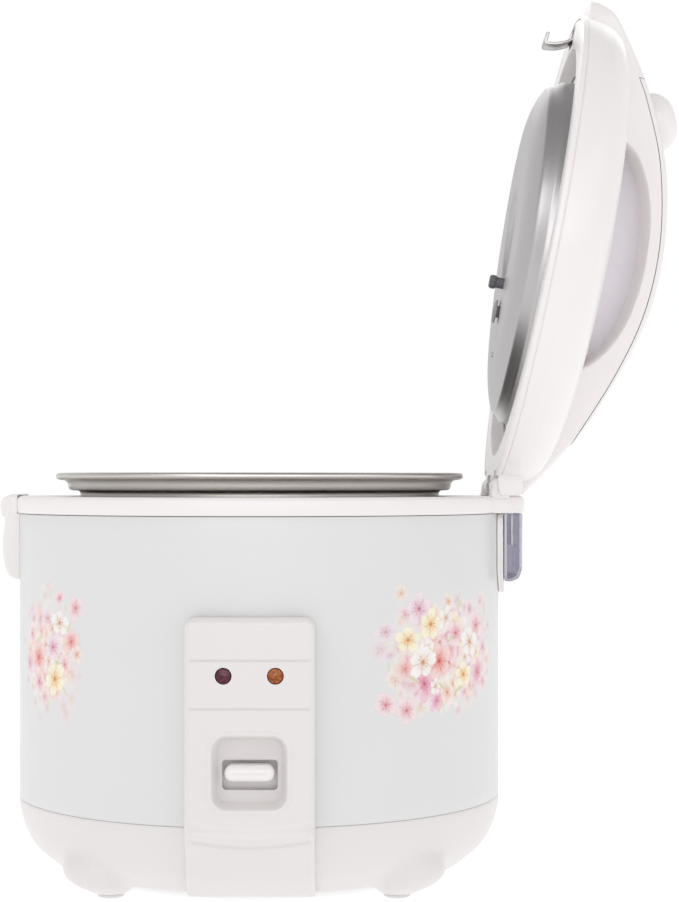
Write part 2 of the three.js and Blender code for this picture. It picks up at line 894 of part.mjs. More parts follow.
// A piece of revolution on the tilted axis of the steam cap, with heights along that axis.
function onCapAxis(profile, sides = 24) {
  const degrees = -STEAM_CAP_TILT;
  return turned(profile, sides).rotate([0, degrees, 0]).translate([STEAM_CAP_SEAT.x, 0, STEAM_CAP_SEAT.h]);
}

const capSeat = () =>
  onCapAxis([
    [0, -3],
    [STEAM_CAP_R + GAP, -3],
    [STEAM_CAP_R + GAP, 30],
    [0, 30],
  ]);

const DUCT_X = -88;
const ductBore = (r) => bar(r, [DUCT_X, 0, 10], [DUCT_X, 0, 50], 16);

const LID_SCREWS = [60, 300].map((degrees) => {
  const turn = THREE.MathUtils.degToRad(degrees);
  return [88 * Math.cos(turn), 88 * Math.sin(turn)];
});

function lidShell() {
  const dome = turned([...DOME_OUTSIDE, [0, 0.5]]);
  const inside = turned([...DOME_INSIDE, [0, -1]]);
  const hingeNotch = box([133, 150], [-EAR_OUT - 2.3, EAR_OUT + 2.3], [-2, 13]);
  const bosses = LID_SCREWS.map(([x, y]) =>
    cut(bar(5, [x, y, 17.2], [x, y, 37], 10), bar(1.9, [x, y, 16], [x, y, 28])),
  );
  const hollow = cut(
    join(dome, bridge()),
    inside,
    aboveSeam(0, 0),
    fingerOpening(0, -40, 40),
    capSeat(),
    ductBore(8.3),
    hingeNotch,
  );
  return piece("lid_shell", join(hollow, ...bosses), "whitePlastic");
}

const handleCover = () =>
  piece("handle_cover", cut(bridge().intersect(aboveSeam(GAP, GAP)), capSeat()), "whitePlastic");

const fingerWell = () => piece("finger_well_web", fingerOpening(GAP, -WEB_HALF, WEB_HALF), "wellPlastic");

const steamCap = () =>
  piece(
    "steam_cap",
    onCapAxis([
      [0, -2.6],
      [STEAM_CAP_R, -2.6],
      [STEAM_CAP_R, 8.6],
      [16.2, 12.4],
      [13.4, 15.4],
      [8, 17.2],
      [0, 17.8],
    ]),
    "whitePlastic",
  );

const steamDuct = () =>
  piece("steam_duct", cut(bar(8, [DUCT_X, 0, 18], [DUCT_X, 0, 47], 16), ductBore(6.4)), "greyPlastic");

function lidInnerFrame() {
  const plate = turned([
    [142, 0.5],
    [142, 2.7],
    [127, 2.7],
    [127, 16.8],
    [60, 16.8],
    [60, 14.6],
    [125, 14.6],
    [125, 0.5],
  ]);
  const pivotH = HINGE_Z - RING_TOP;
  const arm = box([133.5, HINGE_X], [-EAR_IN + 0.5, EAR_IN - 0.5], [1, 9.5]);
  const knuckle = bar(KNUCKLE_R, [HINGE_X, -EAR_IN + 0.5, pivotH], [HINGE_X, EAR_IN - 0.5, pivotH], 16);
  const pinHole = bar(HINGE_PIN_R + GAP, [HINGE_X, -60, pivotH], [HINGE_X, 60, pivotH]);
  const springRoom = box([137.5, 150], [-12, 12], [-1, 12]);
  const earRooms = [-1, 1].map((side) => {
    const [y0, y1] = side < 0 ? [-EAR_OUT - 2.3, -EAR_IN + 0.5] : [EAR_IN - 0.5, EAR_OUT + 2.3];
    return box([134.5, 150], [y0, y1], [-1, 13]);
  });
  const hookBosses = [-1, 1].map((side) =>
    box([-139, -131.5], [Math.min(9.3 * side, 12.5 * side), Math.max(9.3 * side, 12.5 * side)], [2, 12]),
  );
  const hookPinHole = bar(1.4, [HOOK_PIVOT.x, -20, HOOK_PIVOT.h], [HOOK_PIVOT.x, 20, HOOK_PIVOT.h]);
  const hookSlot = box([-140.5, -128], [-9, 9], [-1, 4]);
  const screwHoles = LID_SCREWS.map(([x, y]) => bar(1.9, [x, y, 10], [x, y, 20]));
  return piece(
    "lid_inner_frame",
    cut(
      join(cut(plate, ...earRooms), arm, knuckle, ...hookBosses),
      pinHole,
      springRoom,
      hookSlot,
      hookPinHole,
      ...screwHoles,
    ),
    "whitePlastic",
  );
}

function lidScrew(index) {
  const [x, y] = LID_SCREWS[index];
  const top = 27;
  const screw = turned(
    [
      [0, 12.6],
      [3.2, 12.6],
      [3.2, 14.6 - GAP],
      [1.5, 14.6 - GAP],
      [1.5, top],
      [0, top],
    ],
    SMALL_ROUND,
  );
  return placed(piece(`lid_screw_${index + 1}`, screw, "zincSteel"), x, y, 0);
}

const KNOB_X = 21;
const STEAM_HOLE_X = 38.5;
const FACE = -17.5; // the inner lid's face

function radiatingPlate() {
  const plate = turned([
    [0, 11.8],
    [80, 11.8],
    [80, 14.3],
    [0, 14.3],
  ]);
  return piece("radiating_plate", join(plate, bar(3, [KNOB_X, 0, FACE - 2.5], [KNOB_X, 0, 13])), "dullAluminium");
}

function innerLidDish() {
  const outside = turned([
    [0, FACE - 1],
    [60, FACE - 0.7],
    [95, FACE + 0.8],
    [101.5, FACE + 4],
    [104, FACE + 9.5],
    [104, 4.5],
    [106, 6.5],
    [109, 6.5],
    [109, 8],
    [0, 8],
  ]);
  const inside = turned([
    [0, FACE + 0.5],
    [60, FACE + 0.8],
    [94.5, FACE + 2.3],
    [100.3, FACE + 5.2],
    [102.5, FACE + 9.8],
    [102.5, 9],
    [0, 9],
  ]);
  const dimple = (r, depth) => bar(r, [-7, 0, FACE - 5], [-7, 0, FACE - 1 + depth], 20);
  const studHole = bar(3.4, [KNOB_X, 0, -30], [KNOB_X, 0, 10]);
  const steamHole = bar(4, [STEAM_HOLE_X, 0, -30], [STEAM_HOLE_X, 0, 10]);
  const pressed = cut(cut(outside, dimple(30, 3)), cut(inside, dimple(31.5, 4.5)));
  return piece("inner_lid_dish", cut(pressed, studHole, steamHole), "dullAluminium");
}

const lidGasket = () =>
  piece(
    "lid_gasket",
    turned([
      [109.3, 5.6],
      [111.5, 5.6],
      [111.5, 11.5],
      [104.5, 11.5],
      [104.5, 8.3],
      [109.3, 8.3],
    ]),
    "greyPlastic",
  );

const innerLidKnob = () =>
  piece(
    "inner_lid_knob",
    cut(
      turned(
        [
          [0, -4.4],
          [4.5, -4.4],
          [6.5, -3],
          [6.8, 2.2],
          [5, 2.6],
          [0, 2.6],
        ],
        16,
      ).translate([KNOB_X, 0, FACE - 1 - 3]),
      bar(3.3, [KNOB_X, 0, FACE - 2.8], [KNOB_X, 0, 0]),
    ),
    "greyPlastic",
  );

const steamHoleCap = () =>
  piece(
    "steam_hole_cap",
    cut(
      turned(
        [
          [0, -3.2],
          [5.5, -3.2],
          [7.3, -2],
          [7.5, -0.5],
          [3.6, -0.5],
          [3.6, 4],
          [0, 4],
        ],
        16,
      ).translate([STEAM_HOLE_X, 0, FACE - 1]),
      bar(2.2, [STEAM_HOLE_X, 0, FACE - 2], [STEAM_HOLE_X, 0, 0], 8),
    ),
    "greyPlastic",
  );

function lidHook() {
  const line = [
    [-136, 8],
    [-133.2, 1.5],
    [-129.3, -5],
    [-127.4, -11],
    [-128.2, -14.6],
    [-131.2, -15.6],
    [-134, -13.2],
  ];
  const plate = alongY(bentPlate(line, 1.9), -HOOK_HALF, HOOK_HALF);
  const eye = bar(2.9, [HOOK_PIVOT.x, -HOOK_HALF, HOOK_PIVOT.h], [HOOK_PIVOT.x, HOOK_HALF, HOOK_PIVOT.h]);
  const hole = bar(1.4, [HOOK_PIVOT.x, -20, HOOK_PIVOT.h], [HOOK_PIVOT.x, 20, HOOK_PIVOT.h]);
  return piece("lid_hook", cut(join(plate, eye), hole), "chrome");
}

const hookPin = () =>
  piece("hook_pin", bar(1.1, [HOOK_PIVOT.x, -12.3, HOOK_PIVOT.h], [HOOK_PIVOT.x, 12.3, HOOK_PIVOT.h]), "zincSteel");

// ---------------------------------------------------------------- assembly

const body = new THREE.Group();
body.position.z = -UNDERSIDE;
body.add(baseShell(), bottomPlate(), bodySleeve(), topRing(), potHousing(), powerInlet());
for (const index of [0, 1, 2, 3]) body.add(bottomScrew(index), footPad(index));
for (const side of [-1, 1]) body.add(inletPin(side));
body.add(heatingPlate(), thermalFuse(), sideHeater());
body.add(sensorCup(), disc("sensor_ferrite", 11.5, 77, 80.2, "ferrite"), sensorSpring());
body.add(disc("magnet", 11, 66, 70.5, "ferrite"), liftRod());
body.add(pivotBracket(), pivotPin(), leverArm(), cookingLever(), microSwitch());
body.add(controlPanel(), lampLens("lamp_lens_cook", -LAMP_X, "plumLens"), lampLens("lamp_lens_warm", LAMP_X, "amberLens"));
body.add(lampBulb("lamp_bulb_cook", -LAMP_X), lampBulb("lamp_bulb_warm", LAMP_X));
body.add(latchHousing(), latchButton(), buttonSpring(), latchCatch());
body.add(collectorBracket(), dewCollector(), hingePin(), hingeSpring(), cookingPan());

// Inside this group x, y are the body's and z is the height above the top ring of the closed lid.
const closedLid = new THREE.Group();
closedLid.position.set(-HINGE_X, 0, RING_TOP - HINGE_Z);
closedLid.add(lidShell(), handleCover(), fingerWell(), steamCap(), steamDuct(), lidInnerFrame());
for (const index of [0, 1]) closedLid.add(lidScrew(index));
closedLid.add(radiatingPlate(), innerLidDish(), lidGasket(), innerLidKnob(), steamHoleCap(), lidHook(), hookPin());

const lid = new THREE.Group();
lid.position.set(HINGE_X, 0, HINGE_Z);
lid.rotation.y = THREE.MathUtils.degToRad(OPEN_DEGREES);
lid.add(closedLid);
body.add(lid);

const riceCooker = new THREE.Group();
riceCooker.add(body);

export default riceCooker;
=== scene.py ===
"""A round household rice cooker standing open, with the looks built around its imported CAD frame.

Shapes are made in millimetres. Pieces of the body use heights above the floor that the feet stand
on; pieces of the lid are made with the lid closed, in heights above the top ring, and are turned
open by LID_MATRIX. The panel faces -Y, the latch is at -X and the hinge at +X.
"""

import json
from math import cos, pi, radians, sin, sqrt

import bmesh
import bpy
import numpy as np
from mathutils import Matrix, Vector


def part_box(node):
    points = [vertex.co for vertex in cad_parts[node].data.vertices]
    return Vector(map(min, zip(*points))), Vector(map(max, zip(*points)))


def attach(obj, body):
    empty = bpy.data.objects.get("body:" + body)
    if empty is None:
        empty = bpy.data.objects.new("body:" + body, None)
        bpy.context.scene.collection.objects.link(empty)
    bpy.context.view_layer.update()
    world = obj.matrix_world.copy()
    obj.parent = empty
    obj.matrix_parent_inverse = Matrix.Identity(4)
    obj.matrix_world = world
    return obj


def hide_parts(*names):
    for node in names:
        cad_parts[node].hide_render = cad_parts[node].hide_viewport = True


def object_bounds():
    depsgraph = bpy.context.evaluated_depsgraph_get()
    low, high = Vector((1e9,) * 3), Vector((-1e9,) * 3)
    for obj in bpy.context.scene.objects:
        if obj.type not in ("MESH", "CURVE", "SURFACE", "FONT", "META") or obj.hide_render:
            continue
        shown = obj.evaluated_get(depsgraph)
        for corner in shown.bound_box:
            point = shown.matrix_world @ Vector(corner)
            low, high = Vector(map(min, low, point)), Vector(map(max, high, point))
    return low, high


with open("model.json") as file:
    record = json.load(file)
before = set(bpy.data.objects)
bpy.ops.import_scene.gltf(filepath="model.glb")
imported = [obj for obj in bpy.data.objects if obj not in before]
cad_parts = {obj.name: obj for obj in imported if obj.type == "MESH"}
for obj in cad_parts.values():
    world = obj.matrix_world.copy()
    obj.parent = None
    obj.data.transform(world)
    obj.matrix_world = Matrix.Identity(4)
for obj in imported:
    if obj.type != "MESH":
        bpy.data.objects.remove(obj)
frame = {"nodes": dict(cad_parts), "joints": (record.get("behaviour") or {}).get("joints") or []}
cad_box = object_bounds()

MM = 0.001
FLOOR = Vector((0, 0, -cad_box[0].z / MM))

# ---- driving dimensions


def span(node):
    """Lowest and highest corner of a CAD node in millimetres, in heights above the floor."""
    low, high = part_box(node)
    return low / MM + FLOOR, high / MM + FLOOR


BODY_R = span("body_sleeve")[1].x
BASE_TOP = span("base_shell")[1].z
SLEEVE_LOW, SLEEVE_HIGH = (corner.z for corner in span("body_sleeve"))
RING_LOW = span("top_ring")[0].z
RING_TOP = RING_LOW + 10
RING_R = BODY_R + 1.5
RING_OPENING_R = 112.5
LOBE_R = 160.5
UNDERSIDE = FLOOR.z
PAN_LOW, PAN_HIGH = (corner.z for corner in span("cooking_pan"))
PAN_FLANGE_R = span("cooking_pan")[1].x
PANEL_HALF = span("control_panel")[1].x
PANEL_TOP = span("control_panel")[1].z
PANEL_FRONT = span("control_panel")[0].y
LAMP_X = (span("lamp_lens_warm")[0].x + span("lamp_lens_warm")[1].x) / 2
LAMP_Z = (span("lamp_lens_warm")[0].z + span("lamp_lens_warm")[1].z) / 2
LAMP_R = (span("lamp_lens_warm")[1].x - span("lamp_lens_warm")[0].x) / 2
CORNERS = [(-1, -1), (1, -1), (1, 1), (-1, 1)]

lid_hinge = next(joint for joint in frame["joints"] if joint["name"] == "lid_hinge")
HINGE_AT = Vector(lid_hinge["pos_m"])
HINGE = HINGE_AT / MM + FLOOR
HINGE_H = HINGE.z - RING_TOP
LID_OPEN = radians(-lid_hinge["range_deg"][0])
LID_MATRIX = (
    Matrix.Translation(HINGE_AT)
    @ Matrix.Rotation(LID_OPEN, 4, "Y")
    @ Matrix.Translation(-HINGE_AT)
    @ Matrix.Translation((Vector((0, 0, RING_TOP)) - FLOOR) * MM)
)
LID_R = 145.0
# The raised handle bridge, the web between its finger wells, and the steam cap on top of it.
BRIDGE_HALF = 29.0
WEB_HALF = 11.0
CAP_SEAT = (-90.3, 53.2)
CAP_TILT = 24.5
CAP_R = 18.2
# The inner lid: height and radius of its face, height where its side wall ends, and how far from
# its middle the knob, the steam hole and the rivet are.
FACE = -17.5
FACE_R = 98.6
DISH_SHOULDER = 3.6
KNOB_X = 21.0
STEAM_HOLE_X = 38.5
RIVET_X = 64.7
# The pin of the lid's hook, as (x, height), and half the width of the hook.
HOOK_PIVOT = (-136.0, 8.0)
HOOK_HALF = 8.5
PIN_HOLE_R = 2.3
# The hinge ears reach from one to the other of these distances, on both sides of the middle.
EAR_FROM, EAR_TO = 32, 44
BUTTON_Z = 219.5
INLET_Z = 33
LEVER_Z = 78
LID_BODIES = ("lid", "steam_cap", "hook")


# ---- outlines


def rounded(points, radius, steps=4, closed=True):
    """The outline with its corners rounded off by up to `radius`."""
    corners = [Vector(p) for p in points]
    made = []
    for i, corner in enumerate(corners):
        if not closed and i in (0, len(corners) - 1):
            made.append(tuple(corner))
            continue
        before = corners[i - 1] - corner
        after = corners[(i + 1) % len(corners)] - corner
        a = corner + before.normalized() * min(radius, before.length * 0.45)
        b = corner + after.normalized() * min(radius, after.length * 0.45)
        for k in range(steps + 1):
            t = k / steps
            made.append(tuple(a * (1 - t) ** 2 + corner * (2 * t * (1 - t)) + b * t * t))
    return made


def curve(points, count):
    """Points of a smooth curve that runs through a few given points."""
    given = np.array(points, float)
    padded = np.vstack([2 * given[0] - given[1], given, 2 * given[-1] - given[-2]])
    made = []
    for t in np.linspace(0, len(given) - 1, count):
        i = min(int(t), len(given) - 2)
        f = t - i
        p0, p1, p2, p3 = padded[i : i + 4]
        bend = (2 * p0 - 5 * p1 + 4 * p2 - p3) * f + (3 * p1 - p0 - 3 * p2 + p3) * f * f
        made.append(tuple(0.5 * (2 * p1 + (p2 - p0 + bend) * f)))
    return made


def rounded_rectangle(x, y, half_width, half_height, radius, steps=8):
    made = []
    for quarter, (side, end) in enumerate(((1, 1), (-1, 1), (-1, -1), (1, -1))):
        cx = x + side * (half_width - radius)
        cy = y + end * (half_height - radius)
        for k in range(steps + 1):
            turn = (quarter + k / steps) * pi / 2
            made.append((cx + radius * cos(turn), cy + radius * sin(turn)))
    return made


def circle(x, y, radius, sides=32):
    turns = [2 * pi * i / sides for i in range(sides)]
    return [(x + radius * cos(turn), y + radius * sin(turn)) for turn in turns]


def bent_plate(line, thickness):
    """Outline of a plate of even thickness that follows a line of points."""
    line = np.array(line, float)
    along = np.gradient(line, axis=0)
    along /= np.linalg.norm(along, axis=1)[:, None]
    side = np.stack([-along[:, 1], along[:, 0]], 1) * thickness / 2
    return np.vstack([line + side, (line - side)[::-1]])


def ease(low, high, value):
    """0 below `low`, 1 above `high` and a smooth step between; `low` may be the larger."""
    t = np.clip((value - low) / (high - low), 0, 1)
    return t * t * (3 - 2 * t)


def hump(value, width):
    """1 where the value is zero, fading out smoothly to both sides."""
    return np.exp(-((value / width) ** 2))


def rounding(over, radius):
    """How far an edge of this radius has fallen back, `over` past the start of its rounding."""
    return radius - np.sqrt(radius**2 - np.clip(over, 0, radius) ** 2)


# ---- meshes


def mesh_object(name, points, faces):
    """An object from points and faces, with doubled points merged and faces turned outwards."""
    mesh = bpy.data.meshes.new(name)
    mesh.from_pydata(np.asarray(points, float).tolist(), [], faces)
    work = bmesh.new()
    work.from_mesh(mesh)
    bmesh.ops.remove_doubles(work, verts=work.verts, dist=1e-4)
    bmesh.ops.dissolve_degenerate(work, edges=work.edges, dist=1e-5)
    bmesh.ops.recalc_face_normals(work, faces=work.faces)
    work.to_mesh(mesh)
    work.free()
    obj = bpy.data.objects.new(name, mesh)
    bpy.context.scene.collection.objects.link(obj)
    return obj


def skin(name, rings, wrap=False):
    """A skin over rings of points, each ring closed on itself, capped or wrapped at its ends."""
    rings = np.asarray(rings, float)
    count, size = rings.shape[:2]
    index = np.arange(count * size).reshape(count, size)
    here = index if wrap else index[:-1]
    ahead = np.roll(index, -1, 0) if wrap else index[1:]
    quads = [here, np.roll(here, -1, 1), np.roll(ahead, -1, 1), ahead]
    faces = np.stack(quads, -1).reshape(-1, 4).tolist()
    if not wrap:
        faces += [index[0].tolist()[::-1], index[-1].tolist()]
    return mesh_object(name, rings.reshape(-1, 3), faces)


def swung(profile, turn):
    """A profile of (radius, height) points stood up at an angle about the Z axis."""
    r, z = np.array(profile, float).T
    return np.stack([r * cos(turn), r * sin(turn), z], -1)


def turned(name, profile, sides=160):
    """A closed profile of (radius, height) points turned about the Z axis."""
    turns = np.arange(sides) * 2 * pi / sides
    return skin(name, [swung(profile, turn) for turn in turns], wrap=True)


def prism(name, axis, outline, start, end, bevel=0.0, steps=4):
    """An outline carried along an axis, with the rims of both ends rounded by `bevel`.

    The outline is given in the other two axes, in the order X, Y, Z."""
    outline = np.array(outline, float)
    following = np.roll(outline, -1, 0)
    ahead = following - outline
    ahead /= np.linalg.norm(ahead, axis=1)[:, None]
    normals = np.stack([-ahead[:, 1], ahead[:, 0]], 1)
    middle = normals + np.roll(normals, 1, 0)
    inward = 2 * middle / np.maximum((middle**2).sum(1), 1.2)[:, None]
    area = (outline[:, 0] * following[:, 1] - following[:, 0] * outline[:, 1]).sum()
    inward *= np.sign(area)
    turns = np.linspace(0, pi / 2, steps + 1) if bevel else [pi / 2]
    near = [(bevel * (1 - sin(t)), start + bevel * (1 - cos(t))) for t in turns]
    far = [(inset, start + end - at) for inset, at in reversed(near)]
    rings = []
    for inset, at in near + far:
        flat = outline + inward * inset
        columns = list(flat.T)
        columns.insert("xyz".index(axis), np.full(len(flat), at))
        rings.append(np.stack(columns, -1))
    return skin(name, rings)


def sector(name, profile, half_angle, steps=24):
    """A closed profile of (radius, height) points swept about Z, either side of +X."""
    turns = np.linspace(-half_angle, half_angle, steps + 1)
    return skin(name, [swung(profile, turn) for turn in turns])


Z_TO_X = Matrix.Rotation(pi / 2, 4, "Y")
Z_TO_FRONT = Matrix.Rotation(pi / 2, 4, "X")


def moved(obj, matrix):
    obj.data.transform(matrix)
    return obj


def shifted(obj, x, y, z):
    return moved(obj, Matrix.Translation((x, y, z)))


def vertices_of(mesh):
    """The places of a mesh's vertices as rows of an array."""
    places = np.zeros(len(mesh.vertices) * 3, np.float32)
    mesh.vertices.foreach_get("co", places)
    return places.reshape(-1, 3)


def applied(obj):
    """The object with its modifiers worked into its mesh."""
    graph = bpy.context.evaluated_depsgraph_get()
    made = bpy.data.meshes.new_from_object(obj.evaluated_get(graph))
    obj.modifiers.clear()
    before, obj.data = obj.data, made
    bpy.data.meshes.remove(before)
    return obj


def combine(obj, operation, tools):
    for tool in tools:
        modifier = obj.modifiers.new("combine", "BOOLEAN")
        modifier.operation = operation
        modifier.solver = "MANIFOLD"
        modifier.object = tool
        applied(obj)
        bpy.data.objects.remove(tool)
    return obj


def cut(obj, *tools):
    return combine(obj, "DIFFERENCE", tools)


def join(obj, *tools):
    return combine(obj, "UNION", tools)


def within(obj, *tools):
    return combine(obj, "INTERSECT", tools)


def slab(x, y, z):
    """A plain block to cut with, from its limits along each axis."""
    outline = [(x[0], y[0]), (x[1], y[0]), (x[1], y[1]), (x[0], y[1])]
    return prism("slab", "z", outline, z[0], z[1])


def rod(name, axis, at, radius, start, end, bevel=0.0, sides=32):
    return prism(name, axis, circle(at[0], at[1], radius, sides), start, end, bevel)


def coil(name, radius, wire, length, turns):
    """A helical spring about Z, standing on z = 0."""
    path = np.linspace(0, turns * 2 * pi, turns * 24 + 1)
    height = wire + (length - 2 * wire) * path / path[-1]
    section = np.array(circle(radius, 0, wire, 8))
    rings = [swung(section + (0, z), turn) for z, turn in zip(height, path)]
    return skin(name, rings)


def piece(obj, look, body="cooker_body", crease=30):
    """Puts a finished shape in its place, gives it its material and lets it ride on its body.

    A piece is named after the CAD node that it replaces, with _v after the name."""
    on_lid = body in LID_BODIES
    mesh = obj.data
    mesh.transform(Matrix.Scale(MM, 4) @ Matrix.Translation(-FLOOR * (not on_lid)))
    if on_lid:
        obj.matrix_world = LID_MATRIX
    mesh.shade_smooth()
    mesh.set_sharp_from_angle(angle=radians(crease))
    mesh.materials.clear()
    mesh.materials.append(look)
    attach(obj, body)
    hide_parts(obj.name.removesuffix("_v"))
    return obj


# ---- materials


def srgb(red, green, blue):
    """A display colour of 0 to 255 as the linear colour that a shader takes."""
    scaled = [channel / 255 for channel in (red, green, blue)]
    return (*[c / 12.92 if c <= 0.04045 else ((c + 0.055) / 1.055) ** 2.4 for c in scaled], 1)


def feed(node, inputs):
    """Puts values, or the outputs of other nodes, on a node's inputs."""
    for key, value in inputs.items():
        if isinstance(value, bpy.types.NodeSocket):
            node.id_data.links.new(value, node.inputs[key])
        else:
            node.inputs[key].default_value = value
    return node


def grey(level):
    return (level, level, level, 1)


def add(tree, kind, inputs, **settings):
    """A new node with its settings, and with its inputs fed."""
    node = tree.nodes.new(kind)
    for key, value in settings.items():
        setattr(node, key, value)
    return feed(node, inputs)


def new_material(name):
    """A material, its node tree and the place on the piece that its patterns go by."""
    material = bpy.data.materials.new(name)
    material.use_nodes = True
    tree = material.node_tree
    return material, tree, add(tree, "ShaderNodeTexCoord", {}).outputs["Object"]


def finished(material, surface):
    """The material with its shader fed."""
    feed(material.node_tree.nodes["Principled BSDF"], surface)
    return material


def maths(tree, operation, first, second):
    return add(tree, "ShaderNodeMath", {0: first, 1: second}, operation=operation).outputs[0]


def noise(tree, place, scale, detail=3.0):
    """Cloudy values from 0 to 1, finer as the scale grows."""
    inputs = {"Vector": place, "Scale": scale, "Detail": detail}
    return add(tree, "ShaderNodeTexNoise", inputs).outputs["Fac"]


def ramp(tree, factor, first, second, start=0.3, end=0.7):
    """A colour that runs from the first to the second while the factor goes from start to end."""
    node = add(tree, "ShaderNodeValToRGB", {"Fac": factor})
    low, high = node.color_ramp.elements
    low.position, high.position = start, end
    low.color, high.color = first, second
    return node.outputs["Color"]


def spread(tree, factor, low, high, start=0.3, end=0.7):
    """A value that runs from `low` to `high` while the factor goes from `start` to `end`."""
    inputs = {"Value": factor, "From Min": start, "From Max": end, "To Min": low, "To Max": high}
    return add(tree, "ShaderNodeMapRange", inputs).outputs["Result"]


def bump(tree, height, strength, distance, under=None):
    """Surface relief from a height, on top of the relief `under` it if one is given."""
    inputs = {"Height": height, "Strength": strength, "Distance": distance}
    if under is not None:
        inputs["Normal"] = under
    return add(tree, "ShaderNodeBump", inputs).outputs["Normal"]


def shades(color, vary):
    """A darker and a lighter neighbour of a linear colour."""
    darker = (*[c * (1 - vary) for c in color[:3]], 1)
    lighter = (*[min(1.0, c * (1 + vary)) for c in color[:3]], 1)
    return darker, lighter


def moulded(name, color, roughness, vary=0.006, grain=1500.0, depth=0.04, shine=0.5):
    """Moulded plastic or rubber: faint mottling, uneven gloss and a fine moulded grain."""
    material, tree, place = new_material(name)
    waves = bump(tree, noise(tree, place, 25.0, 1.0), 0.01, 0.0002)
    surface = {
        "Base Color": ramp(tree, noise(tree, place, 18.0), *shades(srgb(*color), vary)),
        "Roughness": spread(tree, noise(tree, place, 60.0), roughness * 0.95, roughness * 1.05),
        "Normal": bump(tree, noise(tree, place, grain), depth, 0.0001, waves),
        "Specular IOR Level": shine,
    }
    return finished(material, surface)


def spun(name, color, roughness, vary=0.06, lines=2600.0, depth=0.12, speck=0.0):
    """Turned or pressed metal: fine rings about the piece's Z axis, with faint stains."""
    material, tree, place = new_material(name)
    apart = add(tree, "ShaderNodeSeparateXYZ", {"Vector": place}).outputs
    flat = add(tree, "ShaderNodeCombineXYZ", {"X": apart["X"], "Y": apart["Y"]}).outputs[0]
    radius = add(tree, "ShaderNodeVectorMath", {0: flat}, operation="LENGTH").outputs["Value"]
    rings = add(tree, "ShaderNodeCombineXYZ", {"X": radius, "Y": apart["Z"]}).outputs[0]
    brushed = noise(tree, rings, lines, 2.0)
    stain = noise(tree, place, 22.0, 4.0)
    half = maths(tree, "MULTIPLY", maths(tree, "ADD", brushed, stain), 0.5)
    dents = bump(tree, noise(tree, place, 900.0), speck, 0.0001)
    surface = {
        "Base Color": ramp(tree, half, *shades(srgb(*color), vary)),
        "Roughness": spread(tree, half, roughness * 0.8, roughness * 1.2),
        "Normal": bump(tree, brushed, depth, 0.00005, dents),
        "Metallic": 1.0,
    }
    return finished(material, surface)


def printed_steel():
    """Painted steel of the sleeve; its print is the colour attribute `print` on the mesh."""
    material, tree, place = new_material("painted_steel_print")
    paint = add(tree, "ShaderNodeAttribute", {}, attribute_name="print").outputs["Color"]
    soft = ramp(tree, noise(tree, place, 14.0), grey(0.985), grey(1))
    inputs = {"Factor": 1.0, 6: paint, 7: soft}
    mixed = add(tree, "ShaderNodeMix", inputs, data_type="RGBA", blend_type="MULTIPLY")
    surface = {
        "Base Color": mixed.outputs[2],
        "Roughness": spread(tree, noise(tree, place, 90.0), 0.3, 0.4),
        "Normal": bump(tree, noise(tree, place, 420.0, 1.0), 0.05, 0.0002),
        "Specular IOR Level": 0.4,
    }
    return finished(material, surface)


def lens(name, dark, bright):
    """A coloured lamp lens with moulded facets inside."""
    material, tree, place = new_material(name)
    facets = add(tree, "ShaderNodeTexVoronoi", {"Vector": place, "Scale": 650.0})
    cell = facets.outputs["Distance"]
    surface = {
        "Base Color": ramp(tree, cell, srgb(*bright), srgb(*dark), 0.1, 0.8),
        "Roughness": spread(tree, cell, 0.12, 0.25),
        "Normal": bump(tree, cell, 0.25, 0.0003),
        "Coat Weight": 0.35,
        "Coat Roughness": 0.05,
        "IOR": 1.3,
    }
    return finished(material, surface)


def clear_plastic():
    material, tree, place = new_material("clear_smoke_plastic")
    surface = {
        "Base Color": ramp(tree, noise(tree, place, 30), srgb(186, 183, 196), srgb(200, 197, 209)),
        "Roughness": spread(tree, noise(tree, place, 120.0), 0.03, 0.1),
        "Normal": bump(tree, noise(tree, place, 70.0, 1.0), 0.06, 0.0006),
        "Transmission Weight": 0.92,
        "IOR": 1.49,
    }
    return finished(material, surface)


WHITE = moulded("white_moulded", (240, 236, 235), 0.26, shine=0.45)
# The base and the panel are the same white plastic as the ring, made a little darker as painted
# shade for the less light that falls low on the body.
BASE_WHITE_SHADED = moulded("base_white_painted_shade", (229, 225, 224), 0.32, shine=0.4)
PANEL_WHITE_SHADED = moulded("panel_white_painted_shade", (229, 225, 224), 0.32, shine=0.4)
WELL = moulded("well_moulded", (240, 235, 242), 0.45)
PALE_GREY = moulded("pale_grey_moulded", (150, 149, 151), 0.4, 0.04)
GREY = moulded("grey_moulded", (104, 103, 108), 0.42, 0.05)
SILICONE = moulded("silicone_seal", (150, 147, 146), 0.55, 0.05, 700.0)
BLACK = moulded("black_moulded", (40, 40, 44), 0.4, 0.08)
RUBBER = moulded("foot_rubber_grain", (226, 224, 223), 0.7, 0.05, 900.0, 0.15)
PAN_COAT = moulded("pan_coating", (158, 156, 154), 0.45, 0.06, 2200.0, 0.12)
FERRITE = moulded("ferrite_sintered", (58, 58, 60), 0.6, 0.1, 1200.0, 0.2)
SLEEVE = printed_steel()
CLEAR = clear_plastic()
DISH = spun("dish_aluminium", (190, 187, 188), 0.36, depth=0.05, speck=0.15)
DISH_FACE = spun(
    "dish_satin_face", (194, 191, 192), 0.42, 0.03, depth=0.03, speck=0.1
)
PAN_RIM = spun("pan_anodised", (208, 205, 201), 0.34, lines=1800.0)
CAST = spun("cast_aluminium_turned", (168, 168, 168), 0.5, 0.1, speck=0.5)
ZINC = spun("zinc_plate", (176, 178, 182), 0.42, 0.08, 300.0, 0.05)
CHROME = spun("polished_hook", (160, 157, 155), 0.2, 0.04, 500.0, 0.03)
BRASS = spun("brass_pin", (190, 160, 95), 0.3, lines=900.0)
PLUM = lens("plum_lens_moulded", (60, 12, 30), (106, 40, 64))
AMBER = lens("amber_lens_moulded", (118, 54, 12), (192, 104, 40))
